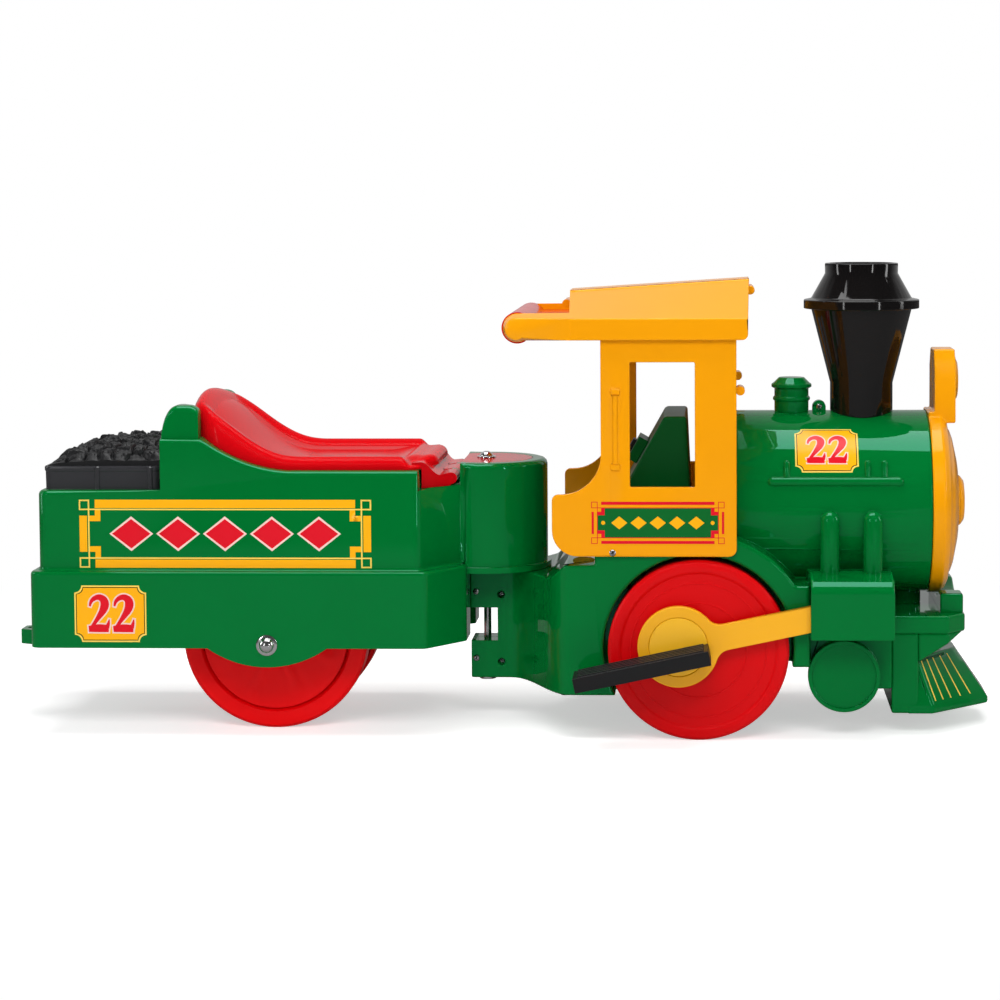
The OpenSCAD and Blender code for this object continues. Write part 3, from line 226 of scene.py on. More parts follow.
finish = {
    "green": plastic("green_gloss", (0.0, 0.150, 0.024), (0.0, 0.142, 0.022), 0.02, 0.03, specular=0.50,
                     tint=(0.30, 1.0, 0.85)),
    "orange": plastic("orange_gloss", (0.86, 0.335, 0.002), (0.84, 0.32, 0.002), 0.14, specular=0.40,
                      tint=(1.0, 0.85, 0.5)),
    "red": plastic("red_gloss", (0.60, 0.002, 0.006), (0.58, 0.002, 0.006), 0.12, specular=0.24,
                   tint=(1.0, 0.45, 0.45)),
    "seat_red": plastic("red_seat_gloss", (0.60, 0.002, 0.005), (0.58, 0.002, 0.005), 0.13, specular=0.05),
    # Wheel red painted lighter than its own colour: a painted lift for the shade that falls on the rear
    # wheels under the tender.
    "wheel": plastic("red_wheel_painted_lighter_for_shade", (0.90, 0.001, 0.003), (0.86, 0.001, 0.003), 0.36, 0.10,
                     specular=0.12),
    # The same wheel red painted darker for the front wheels, which the lamps light more. This is painted
    # light and shade on one plastic.
    "front_wheel": plastic("red_wheel_painted_darker_for_light", (0.67, 0.001, 0.003), (0.64, 0.001, 0.003), 0.34, 0.10,
                           specular=0.12),
    "rod": plastic("yellow_rod_gloss", (0.90, 0.43, 0.014), (0.88, 0.42, 0.013), 0.16, specular=0.35),
    # The rod's yellow painted lighter on the eccentric hubs, to lift the shadow the footrest casts on them.
    "eccentric": plastic("yellow_hub_painted_lighter_for_shade", (0.97, 0.52, 0.024), (0.95, 0.51, 0.023), 0.16, specular=0.35),
    "black": plastic("black_gloss", (0.003, 0.003, 0.0032), (0.005, 0.004, 0.004), 0.07, specular=0.42),
    "dull_green": plastic("green_grained", (0.001, 0.085, 0.014), (0.001, 0.075, 0.012), 0.34,
                          specular=0.16),
    "dull_black": plastic("black_grained", (0.007, 0.007, 0.008), (0.010, 0.010, 0.011), 0.42, 0.15, 700.0,
                          0.12, specular=0.35),
    "coal": plastic("black_coal", (0.005, 0.005, 0.006), (0.009, 0.009, 0.010), 0.36, 0.20, 900.0, 0.20,
                    specular=0.35),
    # Black lightened to dark grey: a painted sheen standing for the reflection on the tray's wall, over the
    # tray's own black.
    "tray": plastic("black_tray_painted_sheen", (0.030, 0.030, 0.034), (0.022, 0.022, 0.025), 0.24, specular=0.45),
    "grey": plastic("grey_dull", (0.07, 0.07, 0.075), (0.06, 0.06, 0.065), 0.5),
    "nylon": plastic("nylon_natural", (0.72, 0.68, 0.56), (0.68, 0.63, 0.5), 0.4),
    "steel": metal("bright_steel", (0.62, 0.62, 0.64), 0.24),
    "chrome": metal("chrome_plate", (0.80, 0.80, 0.81), 0.16),
    "yellow_print": plastic("yellow_print", (0.95, 0.43, 0.002), (0.95, 0.41, 0.002), 0.22, specular=0.25),
    "pale_print": plastic("pale_yellow_print", (0.90, 0.62, 0.10), (0.88, 0.60, 0.09), 0.22, specular=0.25),
    "red_print": plastic("red_print", (0.70, 0.004, 0.016), (0.68, 0.004, 0.015), 0.22, specular=0.25),
    "green_print": plastic("green_print", (0.001, 0.13, 0.020), (0.001, 0.12, 0.018), 0.22, specular=0.25),
    "dark_print": plastic("dark_print", (0.060, 0.050, 0.002), (0.050, 0.044, 0.002), 0.25, specular=0.25),
    "white_print": plastic("pink_print", (0.86, 0.60, 0.54), (0.84, 0.58, 0.52), 0.25, specular=0.25),
}
finish_of_slot = {
    "green_plastic": "green", "orange_plastic": "orange", "red_plastic": "red", "red_wheel": "wheel",
    "black_gloss": "black", "black_matte": "dull_black", "grey_plastic": "grey", "nylon": "nylon",
    "bright_steel": "steel", "chrome": "chrome",
}
for name, node in nodes.items():
    node.data.materials.clear()
    node.data.materials.append(finish[finish_of_slot[slot_of[name]]])


# Making meshes

def points_of(*coordinates):
    """Points from their coordinates, which are spread over one another."""
    return np.stack(np.broadcast_arrays(*coordinates), axis=-1)


def arc(a, b, r, start, stop, count):
    """Points along an arc about (a, b), from one angle in degrees to another."""
    angle = np.radians(np.linspace(start, stop, count))
    return points_of(a + r * np.cos(angle), b + r * np.sin(angle))


def circle(r, count):
    angle = np.linspace(0, 2 * np.pi, count, endpoint=False)
    return r * points_of(np.cos(angle), np.sin(angle))


def grid_faces(rows, columns, close_rows=False, close_columns=False):
    """Quads of a grid numbered row by row; a closed direction joins its last line to its first."""
    i, j = np.meshgrid(np.arange(rows if close_rows else rows - 1),
                       np.arange(columns if close_columns else columns - 1), indexing="ij")
    i, j = i.ravel(), j.ravel()
    return np.stack([i * columns + j, (i + 1) % rows * columns + j,
                     (i + 1) % rows * columns + (j + 1) % columns, i * columns + (j + 1) % columns], axis=1)


def sheet(points):
    """A grid of points whose rows run once round, with its quads."""
    rows, columns = points.shape[:2]
    return points.reshape(-1, 3), grid_faces(rows, columns, close_columns=True).tolist()


def sweep(sections, closed=False):
    """Closed sections carried along a path, one row each; an open path gets a cap at either end."""
    rows, columns = sections.shape[:2]
    faces = grid_faces(rows, columns, closed, True).tolist()
    if not closed:
        faces += [list(range(columns)), list(range(rows * columns - 1, (rows - 1) * columns - 1, -1))]
    return sections.reshape(-1, 3), faces


def body_between(top, base):
    """A closed body between an upper and a lower grid of the same size, with walls round their rims."""
    rows, columns = top.shape[:2]
    index = np.arange(rows * columns).reshape(rows, columns)
    rim = np.concatenate([index[:-1, 0], index[-1, :-1], index[:0:-1, -1], index[0, :0:-1]])
    count = rows * columns
    faces = grid_faces(rows, columns)
    walls = np.stack([rim, np.roll(rim, -1), np.roll(rim, -1) + count, rim + count], axis=1)
    points = np.concatenate([top.reshape(-1, 3), base.reshape(-1, 3)])
    return points, np.concatenate([faces, faces[:, ::-1] + count, walls]).tolist()


def turned(profile, place, steps):
    """A profile of (radius, height) turned about an axis; place(x, y, h) puts its points on the object."""
    profile = np.array(profile)
    angle = np.linspace(0, 2 * np.pi, steps, endpoint=False)
    return sheet(place(profile[:, :1] * np.cos(angle), profile[:, :1] * np.sin(angle), profile[:, 1:]))


def link(name, mesh, material, body):
    """Puts a finished mesh into the scene as a piece that rides on a body."""
    piece = bpy.data.objects.new(name, mesh)
    bpy.context.scene.collection.objects.link(piece)
    mesh.materials.clear()
    mesh.materials.append(finish[material])
    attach(piece, body)
    return piece


def smooth_by_angle(mesh, degrees):
    mesh.polygons.foreach_set("use_smooth", np.ones(len(mesh.polygons), bool))
    mesh.set_sharp_from_angle(angle=math.radians(degrees))


def piece_of(name, shells, material, body, degrees=40.0):
    """One piece from a list of shells in millimetres; doubles are merged and faces turned outwards."""
    points, faces, count = [], [], 0
    for shell_points, shell_faces in shells:
        points.append(shell_points)
        faces += [[count + corner for corner in face] for face in shell_faces]
        count += len(shell_points)
    mesh = bpy.data.meshes.new(name)
    mesh.from_pydata((np.concatenate(points) * MM).tolist(), [], faces)
    work = bmesh.new()
    work.from_mesh(mesh)
    bmesh.ops.remove_doubles(work, verts=work.verts, dist=1e-6)
    bmesh.ops.dissolve_degenerate(work, edges=work.edges, dist=1e-7)
    bmesh.ops.recalc_face_normals(work, faces=work.faces)
    work.to_mesh(mesh)
    work.free()
    smooth_by_angle(mesh, degrees)
    return link(name, mesh, material, body)


# Moulded edges

mould_angle, mould_segments = 38.0, 3
seam_gap, flat_angle = 2e-6, 0.6


def sharp_edges(mesh, degrees):
    """True for each edge where two faces meet at more than the angle."""
    edge_of = np.empty(len(mesh.loops), np.int32)
    mesh.loops.foreach_get("edge_index", edge_of)
    corners = np.empty(len(mesh.polygons), np.int32)
    mesh.polygons.foreach_get("loop_total", corners)
    normals = np.empty(len(mesh.polygons) * 3)
    mesh.polygons.foreach_get("normal", normals)
    normals = normals.reshape(-1, 3)[np.repeat(np.arange(len(corners)), corners)]
    pairs = np.bincount(edge_of, minlength=len(mesh.edges)) == 2
    order = np.argsort(edge_of, kind="stable")
    order = order[pairs[edge_of[order]]].reshape(-1, 2)
    sharp = np.zeros(len(mesh.edges), bool)
    sharp[edge_of[order[:, 0]]] = (
        (normals[order[:, 0]] * normals[order[:, 1]]).sum(axis=1) < math.cos(math.radians(degrees)))
    return sharp


def edge_radii(mesh, radius, places):
    """The mould radius of each edge: the general one, or that of the last place that holds both its ends."""
    points = np.empty(len(mesh.vertices) * 3)
    mesh.vertices.foreach_get("co", points)
    points = points.reshape(-1, 3) / MM
    ends = np.empty(len(mesh.edges) * 2, np.int32)
    mesh.edges.foreach_get("vertices", ends)
    x, y, z = points[ends.reshape(-1, 2)].transpose(2, 0, 1)
    radii = np.full(len(mesh.edges), radius)
    for holds, own in places:
        radii[holds(x, np.abs(y), z).all(axis=1)] = own
    return radii


def soften(piece, radius, places=()):
    """Gives a piece's sharp edges the radius that a mould leaves, wider or finer where places say so."""
    mesh = piece.data
    radii = edge_radii(mesh, radius, places)
    widest = radii.max()
    share = np.where(sharp_edges(mesh, mould_angle), radii / widest, 0.0)
    mesh.attributes.new("bevel_weight_edge", "FLOAT", "EDGE").data.foreach_set("value", share)
    edge = piece.modifiers.new("mould_radius", "BEVEL")
    edge.width = widest * MM
    edge.segments = mould_segments
    edge.limit_method = "WEIGHT"
    edge.use_clamp_overlap = False
    edge.harden_normals = True
    edge.miter_outer = "MITER_ARC"


def rounded_moulding(node, material, radius, places=(), leave_out=None):
    """A copy of a CAD node, merged and cleared of flat seams, with moulded edges.

    leave_out is the box of a form that another piece stands for: its points are taken away.
    """
    source = nodes[node]
    work = bmesh.new()
    work.from_mesh(source.data)
    bmesh.ops.remove_doubles(work, verts=work.verts, dist=seam_gap)
    bmesh.ops.dissolve_limit(work, angle_limit=math.radians(flat_angle), verts=work.verts, edges=work.edges,
                             delimit={"NORMAL"})
    if leave_out:
        low, high = np.array(leave_out) * MM
        places_of = np.array([point.co for point in work.verts])
        inside = ((places_of > low) & (places_of < high)).all(axis=1)
        gone = [point for point, hit in zip(work.verts, inside) if hit]
        bmesh.ops.delete(work, geom=gone, context="VERTS")
    mesh = bpy.data.meshes.new(node + "_moulding")
    work.to_mesh(mesh)
    work.free()
    smooth_by_angle(mesh, mould_angle)
    piece = link(node + "_moulding", mesh, material, source["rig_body"])
    soften(piece, radius, places)
    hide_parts(node)


def level(value, at):
    """True where a coordinate lies on a plane of the model."""
    return np.abs(value - at) < 0.1


def within(value, low, high):
    return (value > low) & (value < high)


def in_box(x_range, y_range, z_range):
    """A rule that holds in a box on either side of the train; y counts outwards from the middle."""
    return lambda x, y, z: within(x, *x_range) & within(y, *y_range) & within(z, *z_range)


# Where the mould radius differs: planes and boxes of the tender, the engine's shells and the rod guards

skirt_top, coal_deck, coal_deck_end, deck_front = 220.0, 326.0, -420.0, -95.0
hitch_x, nose_top, nose_inner_r = -17.0, 354.0, 81.0
hinge_bay = (-92.0, -36.0)
hump_box = ((-440.0, -130.0, 394.5), (-398.5, 130.0, 440.0))
tender_edges = [
    (lambda x, y, z: level(z, skirt_top), 4.5),
    (lambda x, y, z: level(z, coal_deck) & (x < coal_deck_end), 6.0),
    (lambda x, y, z: (y > 147.5) & within(z, np.where(x < coal_deck_end, 321, 340), 400), 6.0),
    (lambda x, y, z: level(x, deck_front), 0.7),
    (lambda x, y, z: level(z, nose_top) & (np.hypot(x - hitch_x, y) > nose_inner_r), 8.0),
    (lambda x, y, z: within(x, *hinge_bay) & (y < 145) & (z > 300), 0.0),
]
gear_bay = in_box((130, 345), (-1, 112), (40, 222))
hitch_knuckles = in_box((-40, 16), (-1, 31), (60, 190))
small_wheel = in_box((400, 520), (118, 145), (20, 136))
steam_pipes = in_box((410, 530), (100, 150), (200, 300))
top_screw = in_box((420, 450), (-1, 8), (410, 440))
handrail = in_box((330, 560), (100, 1000), (325, 360))
shell_edges = [
    (lambda x, y, z: level(y, 0), 0.4),
    (gear_bay, 0.5), (hitch_knuckles, 0.8), (small_wheel, 0.8), (steam_pipes, 0.8), (top_screw, 0.8),
    (handrail, 0.5),
    (lambda x, y, z: level(y, 154), 5.0),
]
guard_edges = [
    (lambda x, y, z: (y > 150) & (z > 195), 6.0),
    (lambda x, y, z: y < 149, 0.6),
]
own_edges = {"engine_shell": shell_edges, "rod_guard": guard_edges}
edge_radius = {
    "engine_shell": 2.6, "rod_guard": 1.6, "smokebox_front": 2.2, "steam_dome": 0.8, "chimney": 1.2,
    "cab_side": 1.8, "drive_button": 1.0, "rod": 1.6, "eccentric": 1.2, "footrest": 0.8, "front_wheel": 1.2,
    "rear_wheel": 1.2, "nose_cover": 1.2, "hitch_cap": 0.6,
}
for form, radius in edge_radius.items():
    for name in [form] if form in nodes else [form + "_right", form + "_left"]:
        # front_wheel and eccentric take finishes whose colours are painted darker and lighter for the light
        # and shade on them.
        material = form if form in finish else finish_of_slot[slot_of[name]]
        rounded_moulding(name, material, radius, own_edges.get(form, ()))
rounded_moulding("tender_body", "green", 0.7, tender_edges, hump_box)
rounded_moulding("console", "dull_green", 4.0)
rounded_moulding("button_housing", "dull_green", 1.2)


def ease(t):
    """A smooth step from 0 to 1."""
    return (1 - np.cos(np.pi * np.clip(t, 0, 1))) / 2


def tender_hump():
    """The two lobes behind the seat: a level top at either side that sinks towards the middle.

    The height over the deck is rounded off by quarter ellipses at the rear edge, at the sides and in front,
    where the plan follows the seat's round corners.
    """
    low, limit, half, foot = -434.0, -384.0, 143.0, 388.0
    valley, lobe_rise, lobe_start, lobe_run = 405.0, 32.0, 78.0, 36.0
    rear_run, side_r, front_run, front_drop = 24.0, 8.0, 15.0, 10.0
    y = half * np.sin(np.linspace(-np.pi / 2, np.pi / 2, 120))[None, :]
    beside = np.clip(np.abs(y) - (seat_half - seat_back_r), 0, seat_back_r)
    high = np.minimum(seat_back - 1.4 + seat_back_r - np.sqrt(seat_back_r ** 2 - beside ** 2), limit)
    x = low + (high - low) * (1 - np.cos(np.linspace(0, np.pi, 40)))[:, None] / 2
    top = valley + lobe_rise * ease((np.abs(y) - lobe_start) / lobe_run)
    rear = np.clip(1 - (x - low) / rear_run, 0, 1)
    side = np.clip(1 - (half - np.abs(y)) / side_r, 0, 1)
    front = np.clip(1 - (high - x) / front_run, 0, 1)
    z = foot + (top - foot) * np.sqrt(1 - rear ** 2.4) - side_r * (1 - np.sqrt(1 - side ** 2))
    z -= front_drop * (1 - np.sqrt(1 - front ** 2))
    z = np.maximum(z, foot + 2)
    return body_between(points_of(x, y, z), points_of(x, y, foot))


piece_of("tender_hump", [tender_hump()], "green", "tender", 50)


# Roof

roof_start, roof_end, roof_half, roof_wall = 105.4, 336.0, 169.0, 4.0
eaves, lid, crown_half, crown_rise = 523.0, 551.0, 36.0, (30.0, 45.0)
roll_x, roll_z, roll_r = 36.0, 538.0, 19.0
seam_x, cheek_inner = 106.5, 140.0
bead_r, bead_places = 6.0, ((95.0, 564.5), (341.0, 582.0))


def block(low, high):
    """A plain block as a section carried from one end to the other."""
    (x0, y0, z0), (x1, y1, z1) = low, high
    return sweep(points_of(np.array([[x0], [x1]]), np.array([y0, y1, y1, y0]), np.array([z0, z0, z1, z1])))


def roof_lid():
    """The roof's shell: a hipped section, open below, carried forwards while its crown rises.

    The crown has a thin raised lip and overhangs both ends a little; the band's front corner is rounded.
    """
    lip, lip_inset, round_r, rake = 1.8, 0.7, 8.0, (-5.6, 3.4)
    length = roof_end - roof_start
    bend = 1 - round_r / length
    corner = bend + (1 - bend) * np.sin(np.linspace(0, np.pi / 2, 8))
    share = np.concatenate([np.linspace(0, bend, 20)[:-1], corner])[:, None]
    still = np.ones_like(share)
    slope = np.linspace(0, 1, 9)
    rise = crown_rise[0] + (crown_rise[1] - crown_rise[0]) * share
    low = eaves + round_r * (1 - np.sqrt(1 - np.clip((share - bend) / (1 - bend), 0, 1) ** 2))
    climb_y = (-roof_half + (roof_half - crown_half) * slope) * still
    climb_z = lid + rise * slope
    top, ceiling = lid + rise + lip, (lid - roof_wall) * still
    edge, side, inner = (crown_half - lip_inset) * still, roof_half * still, (roof_half - roof_wall) * still
    y = np.concatenate([-side, climb_y, -edge, edge, -climb_y[:, ::-1], side, inner, inner, -inner, -inner],
                       axis=1)
    z = np.concatenate([low, climb_z, top, top, climb_z[:, ::-1], low, low, ceiling, ceiling, low], axis=1)
    lean = np.clip((z - lid) / rise, 0, 1)
    x = roof_start + length * share + lean * (rake[0] + (rake[1] - rake[0]) * share)
    return [sweep(points_of(x, y, z)),
            block((roof_end - roof_wall, roof_wall - roof_half, eaves + round_r),
                  (roof_end, roof_half - roof_wall, lid - roof_wall))]


def roof_cheek(side):
    """A cheek beside the visor: a round end and a run forwards to the roof, drawn in at its outer face."""
    slope = crown_rise[0] / (roof_half - crown_half)
    rows = []
    for y, inset in ((cheek_inner, 0.0), (166.5, 4.6), (168.2, 5.2), (roof_half, 6.6)):
        top = lid - 0.1 + (roof_half - y) * slope
        round_end = arc(roll_x, roll_z, roll_r - inset, 90, 300, 40)
        outline = np.concatenate([[(seam_x, top)], round_end, [(seam_x, eaves)]])
        rows.append(points_of(outline[:, 0], side * y, outline[:, 1]))
    return sweep(np.stack(rows))


def visor():
    """The red visor: a rolled edge that stands proud of the cheeks and a deck sunk between them."""
    r, deck, half = roll_r + 1.5, 549.2, cheek_inner - 0.4
    outer = arc(roll_x, roll_z, r, 33, 300, 50)
    inner = arc(roll_x, roll_z, r - roof_wall, 300, 26, 50)
    outline = np.concatenate([[(seam_x, deck)], outer, inner, [(seam_x, deck - roof_wall)]])
    return sweep(points_of(outline[:, 0], np.array([[-half], [half]]), outline[:, 1]))


def roof_bead(x, z):
    """A round bead across the crown's end."""
    ring = circle(bead_r, 24) + (x, z)
    return sweep(points_of(ring[:, 0], np.array([[-crown_half], [crown_half]]), ring[:, 1]))


roof_shells = [*roof_lid(), roof_cheek(-1), roof_cheek(1)] + [roof_bead(*place) for place in bead_places]
roof_edges = [
    (lambda x, y, z: within(x, 327, 337) & (z < 545), 0.0),
    (lambda x, y, z: x < seam_x + 0.5, 0.0),
    (lambda x, y, z: level(x, roof_start), 1.8),
]
roof = piece_of("cab_roof_shell", roof_shells, "orange", "engine", 30)
soften(roof, 1.8, roof_edges)
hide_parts("cab_roof")
shade = piece_of("roof_visor_roll", [visor()], "red", "engine", 30)
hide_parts("roof_visor")


# Pilot

plow_foot = [(544.0, 120.0), (579.0, 120.0), (658.0, 44.0)]
plow_head = [(544.0, 112.0), (558.5, 112.0), (616.0, 24.0)]
plow_heights = (28.0, 36.0, 98.0, 100.0)
pilot_back, pilot_foot = 524.0, 28.4
beam_plan = [(pilot_back, 122.0), (598.0, 122.0), (622.0, 96.0)]
beam_low, beam_top = 134.0, 158.0
bracket_back, bracket_foot, bracket_top, bracket_tip = 559.0, 96.0, 135.0, 620.0
beam_seat = 156.0


def mirrored_plan(side, steps=1):
    """A plan closed over its mirror image, with points added along every edge."""
    side = np.array(side)
    ring = np.concatenate([side, side[::-1] * (1, -1)])
    share = np.linspace(0, 1, steps, endpoint=False)[None, :, None]
    return (ring[:, None] + (np.roll(ring, -1, axis=0) - ring)[:, None] * share).reshape(-1, 2)


def plow():
    """The plow: its plan blends in a straight line from the foot's to the head's between the two lips."""
    foot, head = mirrored_plan(plow_foot, 8), mirrored_plan(plow_head, 8)
    lowest, lip, shoulder, highest = plow_heights
    z = np.concatenate([[lowest], np.linspace(lip, shoulder, 10), [highest]])
    share = np.clip((z - lip) / (shoulder - lip), 0, 1)
    plan = foot + (head - foot) * share[:, None, None]
    return sweep(points_of(plan[..., 0], plan[..., 1], z[:, None]))


def buffer_beam():
    plan = mirrored_plan(beam_plan)
    return sweep(points_of(plan[:, 0], plan[:, 1], np.array([[beam_low], [beam_top]])))


def beam_bracket():
    """The wedge under the beam, cut off by the beam's slanting corners."""
    y = np.array([-120, -96, 96, 120.0])[:, None]
    end = np.where(np.abs(y) > 97, beam_plan[1][0], bracket_tip)
    slope = (bracket_top - bracket_foot) / (bracket_tip - bracket_back)
    low = bracket_foot + (end - bracket_back) * slope
    back, foot, top = (np.full_like(y, value) for value in (bracket_back, bracket_foot, bracket_top))
    x = np.concatenate([back, back, end, end], axis=1)
    z = np.concatenate([foot, top, top, low], axis=1)
    return sweep(points_of(x, y, z))


def front_step():
    """The step under the smokebox, scooped out round the smokebox's rim."""
    step_top, rim_r = 183.0, 128.0
    x = np.array([590.0, bracket_tip])[:, None]
    y = np.linspace(-92, 92, 60)[None, :]
    top = np.minimum(step_top, boiler_z - np.sqrt(np.maximum(rim_r ** 2 - y ** 2, 0)))
    return body_between(points_of(x, y, top), points_of(x, y, beam_seat))


def boiler_prop():
    """The round prop that carries the boiler's front end, cut to the boiler's curve."""
    x, y = (circle(20.5, 48) + (550.5, 0)).T
    top = boiler_z - np.sqrt((boiler_r - 1) ** 2 - y ** 2)
    return sweep(np.stack([points_of(x, y, beam_seat), points_of(x, y, top)]))


pilot_core = block((pilot_back, -119.5, pilot_foot), (bracket_back + 0.5, 119.5, bracket_top))
pilot_shells = [plow(), buffer_beam(), beam_bracket(), front_step(), boiler_prop(), pilot_core]
pilot = piece_of("pilot_casting", pilot_shells, "green", "engine", 30)
soften(pilot, 3.5)
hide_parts("pilot")


# Seat

def deck_height(x):
    """The tender's deck under the seat: level in front, sweeping up as a parabola behind."""
    rise = 1 - np.clip((x - deck_rise[0]) / (deck_rise[1] - deck_rise[0]), 0, 1)
    return deck_top + (deck_rise_top - deck_top) * rise ** 2


def plan_ring(inset):
    """The seat's plan drawn in by an inset: four corner arcs joined by points along the sides."""
    x0, x1, half = seat_back + inset, seat_front - inset, seat_half - inset
    r0, r1 = max(seat_back_r - inset, 0.4), max(seat_front_r - inset, 0.4)
    rear, fore = (x0 + r0, half - r0), (x1 - r1, half - r1)
    corners = ((*fore, r1), (*rear, r0), (rear[0], -rear[1], r0), (fore[0], -fore[1], r1))
    arcs = [arc(*corner, 90 * k, 90 * k + 90, 16) for k, corner in enumerate(corners)]
    ring = []
    for k, count in enumerate((70, 44, 70, 44)):
        start, stop = arcs[k][-1], arcs[(k + 1) % 4][0]
        ring += [arcs[k], start + (stop - start) * np.linspace(0, 1, count)[1:-1, None]]
    return np.concatenate(ring)


def seat_shell():
    """Saddle: a dish whose rim is a roll along its edge, built of rings that follow the plan at an inset d.

    Over d the height runs up a quarter ellipse from the deck to the roll's top, falls in a curve to a crease
    and eases out to the dish. The roll's top sweeps up as (1 - t^1.7)^2.9 towards the back and is arched
    across. In front the roll fades out beside a pommel. The plan bulges backwards at the crest and forwards
    at the pommel.
    """
    outer, crease = 13.0, 29.0
    roll_low, roll_rise, sweep_run, arch_rise = 368.0, 63.0, 145.0, 18.0
    dish_depth, pommel_rise, bulge_back, bulge_front = 11.0, 9.5, 11.0, 17.0
    dish_steps = np.array([1.5, 4, 8, 14, 22, 32, 44, 58, 72, 86, 98, 104.5])
    insets = np.concatenate([outer * (1 - np.cos(np.linspace(0, np.pi / 2, 11))),
                             np.linspace(outer, crease, 14)[1:], crease + dish_steps])
    x, y = np.stack([plan_ring(inset) for inset in insets]).transpose(2, 0, 1)
    d = insets[:, None]

    t = np.clip((x - seat_back - 7) / sweep_run, 0, 1)
    roll = roll_low + roll_rise * (1 - t ** 1.7) ** 2.9
    arch = arch_rise * (1 - np.clip(np.abs(y) / 125, 0, 1) ** 2) * ease(1.35 - (x - seat_back) / 60)
    pommel = pommel_rise * ease((x + 138) / 46) * (1 - ease((np.abs(y) - 62) / 46))
    fade = ease((x + 121) / 16) * ease((x + 300) / 20)
    dish = roll - dish_depth + 0.85 * arch + pommel
    top = (roll + arch) * (1 - fade) + dish * fade
    base = deck_height(x) + 0.3 + 15 * ease((seat_back + 15 - x) / 12)
    foot = base + 2.5
    up = np.sqrt(1 - (1 - np.clip(d / outer, 0, 1)) ** 2)
    fall = np.clip((d - outer) / (crease - outer), 0, 1) ** 1.8
    settle = ease((d - crease) / 34)
    lip = dish + 0.30 * (top - dish)
    rim = np.where(d < outer, foot + (top - foot) * up, top - (top - lip) * fall)
    z = np.where(d < crease, rim, lip + (dish - lip) * settle)
    behind = ease(1 - (x - seat_back) / 70) * np.clip(1 - (y / 112) ** 2, 0, 1)
    ahead = ease(1 + (x - seat_front) / 40) * (1 - ease((np.abs(y) - 60) / 38))
    plan_x = x - bulge_back * behind + bulge_front * ahead
    return sweep(np.concatenate([points_of(plan_x, y, z)[::-1], points_of(plan_x, y, base)]))


def seat_tab(y0, y1, end_x):
    """A strip of the tab: an S from the pommel down to the hinge barrel, swept across from y0 to y1.

    y1 may be a function of x, where the tab narrows in plan. The strip is cut off at end_x.
    """
    pin_x, pin_z, barrel, floor_z, pommel_z = -58.0, 335.0, 8.0, 325.6, 360.0
    root_x, root_low, root_high = -106.0, 351.6, 359.0
    fall = np.linspace(0, 1, 16)
    top = points_of(-94 + 24 * fall, pommel_z - 19 * ease(fall))
    nose = arc(pin_x, pin_z, barrel, 95, -90, 18)
    outline = np.concatenate([[(root_x, root_low), (root_x, root_high)], top, nose,
                              [(pin_x, floor_z), (seat_front, floor_z), (seat_front, root_low)]])
    outline[:, 0] = np.minimum(outline[:, 0], end_x)
    share = np.linspace(0, 1, 5)[:, None]
    limit = y1(outline[:, 0]) if callable(y1) else y1
    return sweep(points_of(outline[:, 0], y0 + (limit - y0) * share, outline[:, 1]))


def make_seat():
    near, far, slot_end, past_end = 29.5, 38.5, -72.0, 0.0
    taper = lambda x: np.interp(x, (seat_front, -50), (118, 80))
    mirrored = lambda x: -taper(x)
    piece = piece_of("saddle_seat", [seat_shell()], "seat_red", "seat_unit", 34)
    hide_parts("seat")
    strips = [seat_tab(-near, near, past_end), seat_tab(far, taper, past_end),
              seat_tab(-far, mirrored, past_end), seat_tab(near, far, slot_end),
              seat_tab(-near, -far, slot_end)]
    piece_of("seat_hinge_tab", strips, "red", "seat_unit", 50)


make_seat()


# Coal

tray_low, tray_high = coal_low[:2] - (8.0, 0), coal_high[:2]
tray_height = 31.0
tray_rim = coal_low[2] + tray_height


def coal_heap():
    """Lumps in a tray: each point takes the chip of its nearest seed, a tilted plane, with cracks between.

    The heap under the lumps bulges up from the tray's rim as 1 - exp(-distance) and is level further in.
    """
    draw = np.random.default_rng(22)
    wall, heap_rise, along, across = 5.0, 25.0, 118, 205
    low, high = tray_low + wall, tray_high - (1.0, wall)
    u = np.linspace(0, 1, along)[:, None]
    v = np.linspace(0, 1, across)[None, :]
    spot = points_of(low[0] + (high[0] - low[0]) * u, low[1] + (high[1] - low[1]) * v)

    def chips(columns, rows, height, slope, crack, width):
        cell = (high - low) / (columns, rows)
        grid = np.stack(np.meshgrid(np.arange(columns), np.arange(rows), indexing="ij"), axis=-1)
        grid = grid.reshape(-1, 2)
        seed = low + (grid + draw.uniform(0.1, 0.9, grid.shape)) * cell
        rise = draw.uniform(-height, height, len(seed))
        tilt = draw.uniform(-slope, slope, seed.shape)
        reach = np.hypot(*(spot[:, :, None, :] - seed).transpose(3, 0, 1, 2))
        near = np.argsort(reach, axis=2)[:, :, :2]
        first, second = np.take_along_axis(reach, near, axis=2).transpose(2, 0, 1)
        own = near[:, :, 0]
        lean = ((spot - seed[own]) * tilt[own]).sum(axis=-1)
        gap = 1 - ease((second - first) / width)
        return rise[own] + lean - crack * gap - 0.012 * first ** 2

    rear, side = spot[..., 0] - low[0], (high[1] - low[1]) / 2 - np.abs(spot[..., 1])
    heap = heap_rise * (1 - np.exp(-(rear + 2) / 20)) * (1 - 0.75 * np.exp(-(side + 1) / 18))
    lumps = chips(7, 13, 3.2, 0.26, 5.0, 6.0) + chips(17, 32, 0.8, 0.30, 0.7, 2.2)
    lumps *= ease((np.minimum(rear, side) + 3) / 12)
    top = np.clip(tray_rim + heap + lumps, tray_rim - 5, coal_high[2] + 3)
    floor = np.full(top.shape, tray_rim - 18.0)
    return body_between(np.dstack([spot, top]), np.dstack([spot, floor]))


